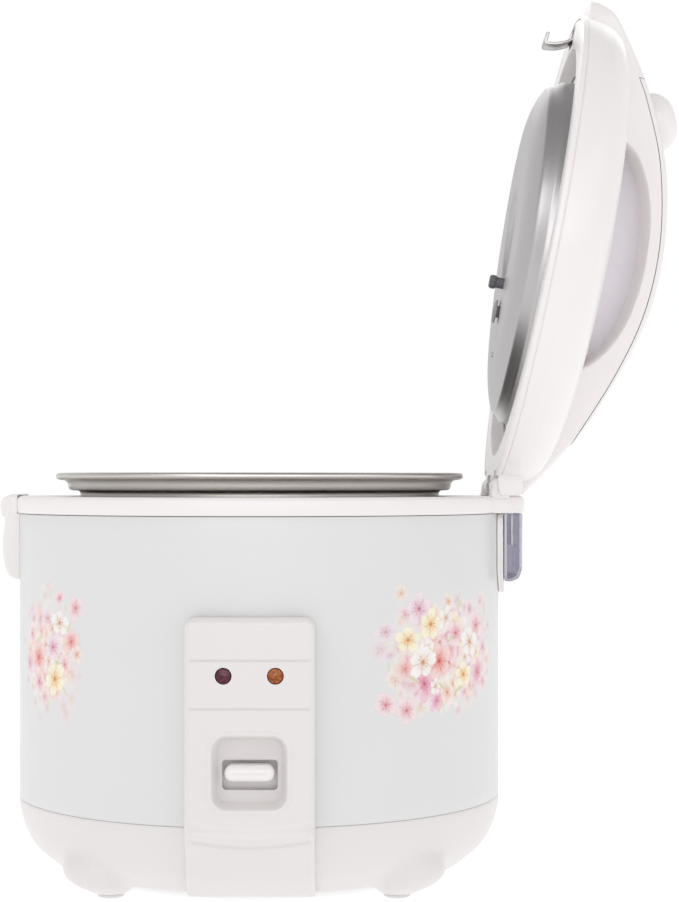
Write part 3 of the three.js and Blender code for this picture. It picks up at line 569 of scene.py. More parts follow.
GLASS = lens("lamp_glass_moulded", (230, 190, 170), (245, 215, 200))


# ---- base

BASE_OUTSIDE = [(104, 3.3), (123, 8), (135.5, 19), (142, 31), (BODY_R, 43), (BODY_R, BASE_TOP)]
FOOT_AT = (abs(span("foot_pad_1")[0].x + 7.5), abs(span("foot_pad_1")[0].y + 7.5))
SCREW_AT = 95.5 / sqrt(2)
LOBE_AT = 86


def foot_lobe(sx, sy):
    """The swelling of the base over one foot, as level circles joined by a skin."""
    levels = [
        (FOOT_AT[0], FOOT_AT[1], 8.2, 2.0), (FOOT_AT[0] + 0.2, FOOT_AT[1] - 0.2, 9.6, 2.5),
        (FOOT_AT[0] + 1.5, FOOT_AT[1] - 1, 13.5, 4.5), (84.5, 88, 19.5, 8),
        (LOBE_AT, LOBE_AT, 23, 13), (LOBE_AT, LOBE_AT, 22.5, 20), (84, 84, 19, 30), (83, 83, 12, 36),
    ]
    rings = []
    for x, y, r, z in curve(levels, 30):
        ring = circle(x * sx, y * sy, r, 48)
        rings.append([(a, b, z) for a, b in ring])
    return skin("lobe", rings)


def build_base():
    """The shell and its foot lobes as one skin, which is then softened where they meet."""
    high, wall_r = BASE_TOP + 0.3, BODY_R - 2.8
    outside = curve(BASE_OUTSIDE[1:-1], 30) + [(BODY_R, high), (wall_r, high), (wall_r, 43.4)]
    slope = [(139.2, 31.8), (132.8, 20.6), (118, 10)]
    floor = [(92, 10), (92, 7.5), (99, 7.5), (99, 3.4), (104, 3.3), (114, 5.2)]
    shell = turned("base_shell_v", outside + slope + floor, 240)
    room = [(0, 60), (0, 10), *reversed(slope), (wall_r, 43.4), (wall_r, 60)]
    cavity = turned("cavity", room, 96)
    lobes = [foot_lobe(sx, sy) for sx, sy in CORNERS]
    join(shell, *lobes)
    mouth = turned("mouth", [(0, 0), (99, 0), (99, 7.5), (92, 7.5), (92, 11), (0, 11)], 96)
    cut(shell, cavity, mouth)
    remesh = shell.modifiers.new("even", "REMESH")
    remesh.mode = "VOXEL"
    remesh.voxel_size = 1.15
    applied(shell)
    near_feet = shell.vertex_groups.new(name="near_feet")
    for vertex in shell.data.vertices:
        x, y, z = vertex.co
        away = sqrt((abs(x) - LOBE_AT) ** 2 + (abs(y) - LOBE_AT) ** 2)
        weight = float(ease(36, 28, away) * ease(5, 9, z) * ease(43, 36, z))
        near_feet.add([vertex.index], weight, "REPLACE")
    for group, rounds in (("near_feet", 70), ("", 4)):
        soften = shell.modifiers.new("soften", "SMOOTH")
        soften.factor = 0.5
        soften.iterations = rounds
        soften.vertex_group = group
    applied(shell)
    window = prism("window", "x", rounded_rectangle(0, INLET_Z, 14.3, 11.3, 2), 120, 150)
    cut(shell, window)
    piece(shell, BASE_WHITE_SHADED)


def build_underside():
    plate = turned("bottom_plate_v", rounded([(0, 6), (98.7, 6), (98.7, 7.2), (0, 7.2)], 0.4))
    rows = [rounded_rectangle(x, 45, 2.5, 17, 2.4) for x in range(-28, 29, 14)]
    holes = [circle(SCREW_AT * sx, SCREW_AT * sy, 1.8) for sx, sy in CORNERS]
    cut(plate, *[prism("hole", "z", outline, 5, 9) for outline in rows + holes])
    piece(plate, ZINC)
    head = [(0, 4.3), (2.2, 4.3), (3.1, 4.9), (3.1, 5.7), (1.5, 5.7), (1.5, 13), (0, 13)]
    pad = rounded([(0, 0), (6.6, 0), (7.5, 0.7), (7.5, 2), (0, 2)], 0.5, closed=False)
    for i, (sx, sy) in enumerate(CORNERS, start=1):
        screw = turned(f"bottom_screw_{i}_v", head, 32)
        for long_x, long_y in ((2, 0.35), (0.35, 2)):
            cut(screw, slab((-long_x, long_x), (-long_y, long_y), (4, 5)))
        piece(shifted(screw, SCREW_AT * sx, SCREW_AT * sy, 0), ZINC)
        foot = turned(f"foot_pad_{i}_v", pad, 48)
        piece(shifted(foot, FOOT_AT[0] * sx, FOOT_AT[1] * sy, 0), RUBBER)


def build_inlet():
    block = prism("power_inlet_v", "x", rounded_rectangle(0, INLET_Z, 14, 11, 2), 100, 134, 0.8)
    cut(block, prism("socket", "x", rounded_rectangle(0, INLET_Z, 10.5, 7, 2), 112, 140))
    piece(block, BLACK)
    for i, y in enumerate((-5.5, 5.5), start=1):
        piece(rod(f"inlet_pin_{i}_v", "x", (y, INLET_Z), 2, 112.3, 130, 0.8), BRASS)


# ---- sleeve and its flower print


def tones(*colors):
    """Display colours as linear red, green and blue."""
    return [np.array(srgb(*color)[:3]) for color in colors]


# The pale edge, the middle and the deep heart of each kind of petal.
PINKS = tones((243, 224, 228), (238, 203, 209), (214, 120, 130))
SALMON = tones((243, 214, 211), (238, 184, 178), (218, 102, 92))
MAGENTA = tones((238, 204, 216), (231, 174, 194), (206, 102, 134))
LILAC = tones((239, 226, 233), (234, 209, 219), (208, 132, 156))
CREAM = tones((246, 241, 219), (245, 230, 193), (224, 152, 84))
IVORY = tones((245, 243, 242), (242, 235, 230), (214, 158, 112))
PEACH = tones((244, 231, 223), (242, 213, 197), (222, 146, 114))

LEAF, LEAF_VEIN = tones((218, 222, 184), (190, 198, 146))
SLEEVE_TONE, HAZE = tones((225, 225, 225), (240, 230, 230))
# The faint blossoms scattered under each bunch: how many, and the colours they are drawn from.
FILLERS = 170
FILLER_COLORS = [PINKS, LILAC, PEACH, CREAM, IVORY, SALMON, IVORY]

# Blossoms as (across, up, radius, turn in degrees, colours, strength), in millimetres from the
# middle of the bunch. Earlier ones lie under later ones.
RIGHT_BUNCH = [
    (-39, 36, 5.6, 20, PEACH, 0.55), (-2, 30, 5.0, 70, PEACH, 0.7), (20, 25, 6.0, 10, LILAC, 0.7),
    (34, 29, 5.0, 50, PINKS, 0.5), (-49, 15, 7.5, 0, LILAC, 0.6), (-46, 2, 5.5, 30, LILAC, 0.45),
    (45, -6, 6.5, 15, PEACH, 0.4), (47, 14, 5.5, 55, LILAC, 0.35), (-36, 24, 6.0, 35, PINKS, 0.55),
    (-43, -12, 6.0, 10, PEACH, 0.45), (-36, -6, 7.5, 60, SALMON, 0.6),
    (-26, 27, 9.5, 15, LILAC, 0.95), (28, 15, 9.0, 40, PINKS, 0.9), (38, 2, 8.0, 5, LILAC, 0.7),
    (-22, -15, 10.0, 35, MAGENTA, 0.95), (-12, -25, 7.0, 0, MAGENTA, 0.85),
    (30, -12, 9.5, 20, MAGENTA, 0.85), (38, -18, 7.0, 55, PINKS, 0.6), (0, 2, 8.0, 60, PINKS, 0.8),
    (-4, 21, 7.0, 20, IVORY, 0.9), (-17, 18, 8.5, 45, CREAM, 1.0), (-34, 10, 9.0, 5, CREAM, 1.0),
    (5, 12, 9.5, 25, PINKS, 0.95), (20, 6, 9.5, 50, IVORY, 1.0), (-20, 5, 6.0, 15, IVORY, 0.95),
    (-3, -21, 8.0, 30, PEACH, 0.85), (14, -22, 6.0, 10, LILAC, 0.6),
    (-10, -3, 10.5, 0, SALMON, 1.0), (-23, -3, 10.0, 20, IVORY, 1.0),
    (13, -12, 9.0, 40, CREAM, 1.0), (-13, -17, 5.0, 50, IVORY, 0.95),
    (-49, -25, 7.5, 25, PINKS, 0.85), (-35, -29, 8.0, 0, PINKS, 0.85),
    (-28, -20, 5.0, 40, LILAC, 0.5),
]
LEFT_BUNCH = [
    (15, 32, 5.8, 10, PINKS, 0.9), (30, 27, 7.5, 60, PINKS, 0.85), (-28, -17, 5.0, 30, LILAC, 0.5),
    (-25, -7, 6.5, 0, MAGENTA, 0.7), (-20, 10, 7.0, 50, PINKS, 0.75), (2, 20, 7.5, 30, LILAC, 0.7),
    (26, 8, 7.5, 15, SALMON, 0.85), (31, 1, 5.5, 40, PEACH, 0.8), (15, 18, 8.5, 35, IVORY, 1.0),
    (-6, 12, 6.0, 70, PEACH, 0.6), (8, 4, 9.5, 20, LILAC, 0.95), (-10, -3, 10.0, 0, SALMON, 1.0),
    (-9, -17, 8.5, 45, PINKS, 0.9), (20, -5, 6.0, 10, PINKS, 0.75), (10, -14, 10.5, 25, CREAM, 1.0),
    (-2, -25, 6.0, 55, PINKS, 0.6),
]
# Leaves as (across, up, half length, turn in degrees, strength).
RIGHT_LEAVES = [
    (8, 28, 5, 80, 0.6), (-30, -12, 5, 150, 0.7), (-9, -29, 4.5, 60, 0.5), (8, -20, 5, 20, 0.8),
    (-47, -4, 4, 100, 0.4), (-8, -17, 4, 140, 0.9), (40, 20, 4.5, 70, 0.4), (26, -22, 4, 110, 0.5),
    (-24, -29, 4.5, 10, 0.3), (0, 9, 4, 35, 0.8),
]
LEFT_LEAVES = [
    (-27, 3, 4.5, 80, 0.5), (-8, 8, 4.5, 30, 0.7), (14, -5, 5, 160, 0.9), (24, 16, 4, 60, 0.6),
    (2, -27, 4, 100, 0.5), (20, -20, 4.5, 130, 0.5),
]


def mix(first, second, share):
    """Colours between two, with the share of the second given for each point."""
    return first * (1 - share[:, None]) + second * share[:, None]


def lay(colors, where, color, cover):
    """Lays a colour over the painted points at `where`, as strongly as `cover` says."""
    colors[where] = mix(colors[where], color, cover)


def paint_blossom(colors, across, up, flower):
    """Five notched petals with veins, a deep heart and a ring of stamens."""
    x, y, radius, turn, (pale, middle, deep), strength = flower
    tilt = radians(turn * 5 + x * 11)
    squash = 1 + 0.3 * (0.5 + 0.5 * sin(x * 3 + y))
    aside = ((across - x) * cos(tilt) + (up - y) * sin(tilt)) / radius
    ahead = ((up - y) * cos(tilt) - (across - x) * sin(tilt)) / radius * squash
    where = np.flatnonzero(np.hypot(aside, ahead) < 1.3)
    rho = np.hypot(aside, ahead)[where]
    angle = np.arctan2(ahead[where], aside[where]) - radians(turn)
    lobe = np.abs(np.cos(2.5 * angle))
    notch = 0.1 * hump(np.sin(2.5 * angle), 0.2)
    edge = (0.58 + 0.5 * lobe**0.7 - notch) * (1 + 0.1 * np.sin(2 * angle + x))
    color = mix(deep, middle, ease(0.03, 0.34, rho))
    color = mix(color, pale, ease(0.25, 0.8, rho))
    veins = 0.5 + 0.5 * np.cos(angle * 35)
    color = mix(color, deep, 0.22 * veins * ease(1.0, 0.3, rho) * ease(0.12, 0.3, rho))
    color = mix(color, deep * 0.8, 0.55 * hump(lobe, 0.16) * ease(0.1, 0.4, rho))
    color = mix(color, middle * 0.7 + deep * 0.3, 0.5 * ease(edge - 0.12, edge - 0.03, rho))
    lay(colors, where, color, strength * ease(edge, edge - 0.06, rho))
    threads = np.abs(np.sin(5.5 * angle + turn)) < 0.2
    tips = threads & (np.abs(rho - 0.36) < 0.06)
    hairs = threads & (rho < 0.36) & (rho > 0.08)
    dark = deep * np.array((0.55, 0.3, 0.3))
    lay(colors, where, deep, strength * (0.7 * hairs))
    lay(colors, where, dark, strength * (0.9 * tips))
    lay(colors, where, dark, strength * 0.6 * ease(0.09, 0.04, rho))


def paint_leaf(colors, across, up, leaf):
    """A pointed leaf with a darker vein along its middle."""
    x, y, half, turn, strength = leaf
    turn = radians(turn)
    along = (across - x) * cos(turn) + (up - y) * sin(turn)
    aside = (up - y) * cos(turn) - (across - x) * sin(turn)
    width = 0.34 * half * np.maximum(0, 1 - (along / half) ** 2)
    where = np.flatnonzero(np.abs(aside) < width)
    color = mix(LEAF, LEAF_VEIN, ease(0.5, 0.1, np.abs(aside[where])))
    lay(colors, where, color, strength * ease(0, 0.5, width[where] - np.abs(aside[where])))


def paint_bunch(colors, across, up, blossoms, leaves, seed):
    """A bunch over a haze of faint blossoms, which fades out to its edge."""
    rng = np.random.default_rng(seed)
    reach_x = max(abs(b[0]) for b in blossoms)
    reach_y = max(abs(b[1]) for b in blossoms)
    haze = np.exp(-((across / reach_x / 0.75) ** 4 + (up / reach_y / 0.75) ** 4))
    lay(colors, np.arange(len(haze)), HAZE, 0.7 * haze)
    for _ in range(FILLERS):
        x, y = rng.normal(0, 0.42, 2) * (reach_x, reach_y)
        tint = FILLER_COLORS[rng.integers(len(FILLER_COLORS))]
        near = np.exp(-((x / reach_x) ** 2 + (y / reach_y) ** 2) * 1.2)
        fill = (x, y, rng.uniform(4, 8.5), rng.uniform(0, 72), tint, 0.8 * near)
        paint_blossom(colors, across, up, fill)
    for leaf in leaves[::2]:
        paint_leaf(colors, across, up, leaf)
    for blossom in blossoms:
        paint_blossom(colors, across, up, blossom)
    for leaf in leaves[1::2]:
        paint_leaf(colors, across, up, leaf)


# Where the bunches stand: degrees from the front, and the height of both.
RIGHT_MIDDLE = 50.0
LEFT_MIDDLE = -55.0
BUNCH_HEIGHT = 137.0


def steps_through(limits, spacings):
    """Values from the first limit to the last, evenly spaced within each stretch."""
    made = [limits[0]]
    for low, high, spacing in zip(limits, limits[1:], spacings):
        made += np.linspace(low, high, max(1, round((high - low) / spacing)) + 1)[1:].tolist()
    return made


def build_sleeve():
    """A thin steel wall, finely divided where the bunches are painted on its vertices."""
    fine, coarse = 0.17, 4.0
    azimuths = steps_through([-180, -84, -36, 24, 76, 180], [coarse, fine, coarse, fine, coarse])
    turns = np.radians(azimuths[:-1]) - pi / 2
    heights = steps_through([SLEEVE_LOW + 0.5, 92, 180, SLEEVE_HIGH - 0.5], [8, 0.42, 8])
    outer = [(BODY_R - 0.5, SLEEVE_LOW), (BODY_R - 0.15, SLEEVE_LOW + 0.15)]
    outer += [(BODY_R, z) for z in heights]
    outer += [(BODY_R - 0.15, SLEEVE_HIGH - 0.15), (BODY_R - 0.5, SLEEVE_HIGH)]
    profile = outer + [(BODY_R - 1, SLEEVE_HIGH), (BODY_R - 1, SLEEVE_LOW)]
    sleeve = skin("body_sleeve_v", [swung(profile, turn) for turn in turns], wrap=True)
    behind_panel = slab((-27, 27), (-150, -120), (53, 145))
    cut(sleeve, behind_panel)
    mesh = sleeve.data
    x, y, z = vertices_of(mesh).astype(float).T
    azimuth = np.degrees(np.arctan2(x, -y))
    colors = np.tile(SLEEVE_TONE, (len(x), 1))
    degree = BODY_R * pi / 180
    up = z - BUNCH_HEIGHT
    paint_bunch(colors, (azimuth - RIGHT_MIDDLE) * degree, up, RIGHT_BUNCH, RIGHT_LEAVES, 7)
    paint_bunch(colors, (azimuth - LEFT_MIDDLE) * degree, up, LEFT_BUNCH, LEFT_LEAVES, 11)
    attribute = mesh.color_attributes.new("print", "FLOAT_COLOR", "POINT")
    rgba = np.hstack([colors, np.ones((len(x), 1))]).astype(np.float32)
    attribute.data.foreach_set("color", rgba.ravel())
    piece(sleeve, SLEEVE)


# ---- top ring


def ring_outer(turn):
    """Outer radius of the top ring, which swells to a lobe over the dew collector."""
    degrees = abs((np.degrees(turn) + 180) % 360 - 180)
    return RING_R + (LOBE_R - RING_R) * ease(18, 11, degrees)


def build_ring():
    low, top = RING_LOW, RING_TOP
    rings = []
    for turn in np.radians(steps_through([-180, -20, 20, 180], [1.5, 0.5, 1.5])[:-1]):
        out = float(ring_outer(turn))
        outline = [
            (out - 0.7, low), (out, low + 0.7), (out, top - 2.2), (out - 0.5, top - 0.9),
            (out - 1.9, top), (RING_OPENING_R + 1.2, top), (RING_OPENING_R, top - 1),
            (RING_OPENING_R, top - 3), (143.5, top - 3), (143.5, low),
        ]
        rings.append(swung(rounded(outline, 0.5, 2), turn))
    ring = skin("top_ring_v", rings, wrap=True)
    ear = [
        (HINGE.x - 7.6, top - 1), (HINGE.x - 6.3, top + 1.2), (HINGE.x - 5.9, HINGE.z - 1),
        (HINGE.x - 5.2, HINGE.z + 2.6), (HINGE.x - 3, HINGE.z + 5), (HINGE.x, HINGE.z + 5.9),
        (HINGE.x + 3, HINGE.z + 5), (HINGE.x + 5.2, HINGE.z + 2.6), (HINGE.x + 5.2, top - 1),
    ]
    sides = [(-EAR_TO, -EAR_FROM), (EAR_FROM, EAR_TO)]
    join(ring, *[prism("ear", "y", rounded(ear, 1.6), y0, y1, 1.2) for y0, y1 in sides])
    pin_hole = rod("hole", "y", (HINGE.x, HINGE.z), PIN_HOLE_R, -42.8, 42.8)
    hook_slot = prism("slot", "z", rounded_rectangle(-131.5, 0, 9.5, 12, 2), top - 5, top + 5)
    stem_hole = rod("stem", "x", (0, BUTTON_Z), 2.4, -160, -130)
    drain = prism("drain", "z", rounded_rectangle(153.5, 0, 3.5, 8, 2), low - 2, top + 2)
    cut(ring, pin_hole, hook_slot, stem_hole, drain)
    piece(ring, WHITE)


# ---- control panel

RECESS_MIDDLE = 78.35
RECESS_HALF = (20.0, 19.55)
RECESS_CORNER = 8.0
RECESS_DEPTH = 9.0
RECESS_BACK = -141.5
PANEL_EDGE = 4.0
PANEL_CORNER = 6.0
GROOVES = (138.6, 112.6)
PANEL_SIDE = [(-121, 6), (-127, 7.5), (-139, 18.5), (-145.5, 30.5), (-150.6, 39), (PANEL_FRONT, 46)]


def panel_front(x, z):
    """Depth (Y) of the panel's front at each point of a row."""
    side = np.array(curve(PANEL_SIDE, 60))
    front = np.interp(z, side[:, 1], side[:, 0])
    front += rounding(np.abs(x) - PANEL_HALF + PANEL_EDGE, PANEL_EDGE)
    front += rounding(z - PANEL_TOP + PANEL_EDGE, PANEL_EDGE)
    for groove in GROOVES:
        front += 0.8 * hump(z - groove, 0.55) * ease(33.5, 31.5, np.abs(x))
    across = np.abs(x) - RECESS_HALF[0] + RECESS_CORNER
    along = np.abs(z - RECESS_MIDDLE) - RECESS_HALF[1] + RECESS_CORNER
    outside = np.hypot(np.maximum(across, 0), np.maximum(along, 0))
    outside += np.minimum(np.maximum(across, along), 0) - RECESS_CORNER
    front -= 0.7 * hump(outside - 1.6, 1.3)
    front += RECESS_DEPTH * ease(0.6, -3.0, outside)
    smile = 39.5 + 3 * (x / 30) ** 2
    ridge = 2.6 * ease(smile - 0.8, smile + 0.4, z) * ease(smile + 10, smile + 1, z)
    crease = 0.8 * hump(z - smile + 1.6, 0.8)
    return front + (crease - ridge) * ease(34.5, 31, np.abs(x))


def build_panel():
    """A stack of level loops: the front face, with its recess and grooves, and a back behind it.

    The points are closest together at the sides of the recess and at the rounded edges."""
    stops = [-1, -0.65, -0.34, 0.34, 0.65, 1]
    x = np.array(steps_through(stops, [0.018, 0.008, 0.018, 0.008, 0.018]))
    x = np.sin(x * pi / 2 * 0.985) * 0.12 / sin(pi / 2 * 0.985) + x * 0.88
    levels = steps_through(
        [UNDERSIDE, 8, 36, 46, 56, 68, 89, 101, 111, 114, 137, 140, PANEL_TOP - 6, PANEL_TOP],
        [0.3, 0.9, 0.35, 0.7, 0.3, 0.7, 0.3, 0.7, 0.2, 0.7, 0.2, 0.7, 0.25],
    )
    base_r, base_z = np.array(BASE_OUTSIDE + [(BODY_R, PANEL_TOP + 5)]).T
    rings = []
    for z in levels:
        half = PANEL_HALF - rounding(z - PANEL_TOP + PANEL_CORNER, PANEL_CORNER)
        across = x * half
        front = panel_front(x * PANEL_HALF, np.full(len(x), z))
        behind_r = np.interp(z + 0.3, base_z, base_r) + 0.4
        back = -np.maximum(119, np.sqrt(behind_r**2 - across**2))
        behind_recess = (np.abs(across) < 23) & (abs(z - RECESS_MIDDLE) < 22.5)
        back = np.maximum(np.where(behind_recess, RECESS_BACK, back), front + 0.15)
        loop = list(zip(across, front)) + list(zip(across[::-3], back[::-3]))
        rings.append([(a, b, z) for a, b in loop])
    panel = skin("control_panel_v", rings)
    slot = prism("slot", "y", rounded_rectangle(0, 76.2, 15, 8.2, 2.2), -147, -130)
    holes = [rod("hole", "y", (x, LAMP_Z), LAMP_R + 0.35, -160, -130) for x in (-LAMP_X, LAMP_X)]
    cut(panel, slot, *holes)
    piece(panel, PANEL_WHITE_SHADED)


def build_lamps():
    dome = [(r, 153.6 - 0.9 * (r / LAMP_R) ** 2) for r in np.linspace(0, LAMP_R - 0.3, 8)]
    cover = dome + [(LAMP_R, 152.2), (LAMP_R, 147.8), (0, 147.8)]
    bulb = [(0, 147.4), (1.6, 147.1), (2.6, 145.8), (2.8, 144), (2.8, 134), (2.2, 133), (0, 133)]
    for name, x, look in (("cook", -LAMP_X, PLUM), ("warm", LAMP_X, AMBER)):
        made = moved(turned(f"lamp_lens_{name}_v", cover, 48), Z_TO_FRONT)
        piece(shifted(made, x, 0, LAMP_Z), look)
        made = moved(turned(f"lamp_bulb_{name}_v", bulb, 32), Z_TO_FRONT)
        piece(shifted(made, x, 0, LAMP_Z), GLASS)


def build_lever():
    """The lever's pill-shaped end, with the shield that closes the slot behind it."""
    pill = rounded_rectangle(0, LEVER_Z, 13.4, 4.4, 4.3, 10)
    cap = prism("cooking_lever_v", "y", pill, -153.6, -138.6, 3.4, 8)
    join(cap, prism("shield", "y", rounded_rectangle(0, 76.5, 16.8, 11.5, 2), -139.2, -138.2))
    piece(cap, WHITE, "lever")


# ---- latch


def build_latch():
    """The housing behind the ring's edge, its push button and the button's spring."""
    outline = [
        (-132, 176.3), (-146.5, 176.3), (-150.3, 178.6), (-152.6, 184), (-153.8, 194),
        (-153.3, 204), (-152.3, 211), (-152.2, 219), (-152, 224), (-150.4, 226.7),
        (-147.5, RING_TOP + 1.2), (-132, RING_TOP + 1.2),
    ]
    block = prism("latch_housing_v", "y", rounded(outline, 2.0), -24, 24, 3.0, 6)
    body_r, ring_r, ring_low = BODY_R + 0.1, RING_R + 0.1, RING_LOW - 0.1
    behind = [(0, 170), (body_r, 170), (body_r, ring_low), (ring_r, ring_low)]
    behind += [(ring_r, RING_TOP + 5), (0, RING_TOP + 5)]
    window = prism("window", "x", rounded_rectangle(0, BUTTON_Z, 11.4, 6.9, 2.0), -165, -140)
    cut(block, turned("behind", behind, 240), window)
    piece(block, WHITE)
    low, high = 213.0, 226.0
    side = [
        (-149.9, low), (-154.6, low), (-156.3, low + 2), (-156.9, high - 6), (-156.4, high - 2.4),
        (-153.6, high), (-149.9, high),
    ]
    head = prism("latch_button_v", "y", rounded(side, 1.6), -11, 11, 1.6, 5)
    cut(head, rod("pocket", "x", (0, BUTTON_Z), 4.3, -154, -140))
    join(head, rod("stem", "x", (0, BUTTON_Z), 2, -155, -133.5, 0.4))
    piece(head, WHITE, "latch_button")
    spring = moved(coil("button_spring_v", 3.2, 0.4, 4.0, 2), Z_TO_X)
    piece(shifted(spring, -151.0, 0, BUTTON_Z), ZINC)


# ---- dew collector


def build_collector():
    outline = [(-28, 180), (-17, 168), (17, 168), (28, 180), (28, SLEEVE_HIGH), (-28, SLEEVE_HIGH)]
    plate = prism("collector_bracket_v", "x", rounded(outline, 4), 130, 170)
    within(plate, rod("outer", "z", (0, 0), BODY_R + 3.5, 150, 240, sides=360))
    cut(plate, rod("inner", "z", (0, 0), BODY_R + 0.3, 140, 250, sides=360))
    screw = [(0, 0), (2.1, 0), (1.7, 0.5), (0, 0.7)]
    head = moved(turned("head", screw, 24), Z_TO_X)
    join(plate, shifted(head, BODY_R + 3.3, 0, 171.2))
    piece(plate, WHITE)
    inner, outer, low, wall = BODY_R + 4.1, LOBE_R - 1, 175.0, 1.5
    shape = [(inner, SLEEVE_HIGH), (inner, low), (outer - 6, low), (outer - 1.8, low + 2)]
    shape += [(outer, low + 7), (outer, SLEEVE_HIGH)]
    cup = sector("dew_collector_v", rounded(shape, 1.4), radians(9.4))
    room = [
        (inner + wall, SLEEVE_HIGH + 5), (inner + wall, low + wall), (outer - 6.4, low + wall),
        (outer - wall - 1.8, low + wall + 2), (outer - wall, low + wall + 7),
        (outer - wall, SLEEVE_HIGH + 5),
    ]
    cut(cup, sector("room", rounded(room, 1.2), radians(8.8)))
    rib = [(inner + 4, 196), (inner + 5, 196), (inner + 5, 215), (inner + 4, 215)]
    join(cup, sector("rib", rib, radians(9)))
    piece(cup, CLEAR, "dew_collector")


def build_hinge():
    piece(rod("hinge_pin_v", "y", (HINGE.x, HINGE.z), 2, -42.6, 42.6, 0.6), ZINC)
    spring = moved(coil("hinge_spring_v", 3.5, 0.7, 22, 6), Z_TO_FRONT)
    piece(shifted(spring, HINGE.x, 11, HINGE.z), ZINC)


# ---- pan, heater and sensor


def build_pan():
    wall_r, step_r, low, top = 108.8, 116.7, PAN_LOW, PAN_HIGH
    outside = [
        (0, low), (88, low), (101, low + 4), (107.3, low + 13), (wall_r, low + 24),
        (wall_r, top - 10.5), (step_r - 1, top - 10.5), (step_r, top - 4.6),
    ]
    flange = [
        (PAN_FLANGE_R - 1.2, top - 4.0), (PAN_FLANGE_R, top - 2.9), (PAN_FLANGE_R, top - 1.3),
        (PAN_FLANGE_R - 1.2, top),
    ]
    inside = [
        (step_r - 1, top), (step_r - 2, top - 1), (step_r - 2, top - 8.7), (wall_r - 2, top - 8.7),
        (wall_r - 2, low + 24), (105.4, low + 14), (99.8, low + 6), (87, low + 2), (0, low + 2),
    ]
    pan = turned("cooking_pan_v", rounded(outside + flange + inside, 2.4, 5, closed=False), 240)
    piece(pan, PAN_RIM, "pan")
    pan.data.materials.append(PAN_COAT)
    inner_top = (top - FLOOR.z - 1.5) * MM
    for polygon in pan.data.polygons:
        x, y, z = polygon.center
        inward = polygon.normal.x * x + polygon.normal.y * y < -1e-4
        bottom = polygon.normal.z > 0.5 and z < inner_top - 0.004
        if z < inner_top and (inward or bottom):
            polygon.material_index = 1


def build_heater():
    """The ringed heating plate on its legs, the sensor in its middle and the pot housing."""
    top, low = PAN_LOW - 0.3, 69.5
    face = [(19, top - 0.6), (19.6, top)]
    for ring in (28, 36, 44, 52, 60, 68):
        face += [(ring - 0.5, top), (ring, top - 0.35), (ring + 0.5, top)]
    rim = [(74, top), (75, top - 1), (75, low + 6), (66, low), (40, low), (19, low + 3)]
    plate = turned("heating_plate_v", face + rim)
    legs = [
        rod("leg", "z", (55 * cos(radians(a)), 55 * sin(radians(a))), 3.5, 59.5, low + 2)
        for a in (90, 210, 330)
    ]
    join(plate, *legs)
    piece(plate, CAST)
    cup = [(0, top), (15.5, top), (17.5, top - 2), (17.5, 63.5)]
    cup += [(16.4, 63.5), (16.4, 80.5), (0, 80.5)]
    sensor = turned("sensor_cup_v", rounded(cup, 0.5, 3, closed=False), 96)
    piece(sensor, CAST, "sensor")
    piece(shifted(coil("sensor_spring_v", 14.2, 0.7, 17.6, 5), 0, 0, 59.3), ZINC)
    high = RING_TOP - 3.3
    bin_wall = [(114.5, high), (114.5, 60), (112.5, 58), (6, 58), (6, 59.2), (112, 59.2)]
    housing = turned("inner_pot_housing_v", bin_wall + [(113.3, 60.5), (113.3, high)])
    piece(housing, ZINC)


# ---- lid

BRIDGE_TOP = [
    (-153.5, 12.5), (-146.5, 23), (-127.5, 37), (-104, 51.4), (-69, 67), (-34.5, 75), (4.5, 77.3),
    (42, 71.7), (94, 53), (121, 37.5), (145.2, 21.5),
]
SEAM = [(-112, 42), (-96.6, 50.3), (-63, 64), (-19, 72.3), (24, 71.3), (65, 61), (113, 42)]
ARCH = [
    (-74, 30), (-71, 43), (-60, 53.5), (-36, 62.8), (-4, 66.3), (26, 63.4), (47, 56), (61, 45.5),
    (67, 36), (69, 27),
]
WELL_WALL = 4.4


def inside_distance(x, h, outline):
    """How far each point lies inside a closed outline; negative outside it."""
    points = np.stack([x, h], -1)
    distance = np.full(x.shape, 1e9)
    crossings = np.zeros(x.shape, int)
    for a, b in zip(outline, np.roll(outline, -1, 0)):
        along = b - a
        t = np.clip(((points - a) @ along) / (along @ along), 0, 1)
        distance = np.minimum(distance, np.linalg.norm(points - a - t[..., None] * along, axis=-1))
        spans = (a[1] > h) != (b[1] > h)
        rise = along[1] if along[1] else 1e-9
        crossings += spans & (x < a[0] + (h - a[1]) * along[0] / rise)
    return np.where(crossings % 2 == 1, distance, -distance)


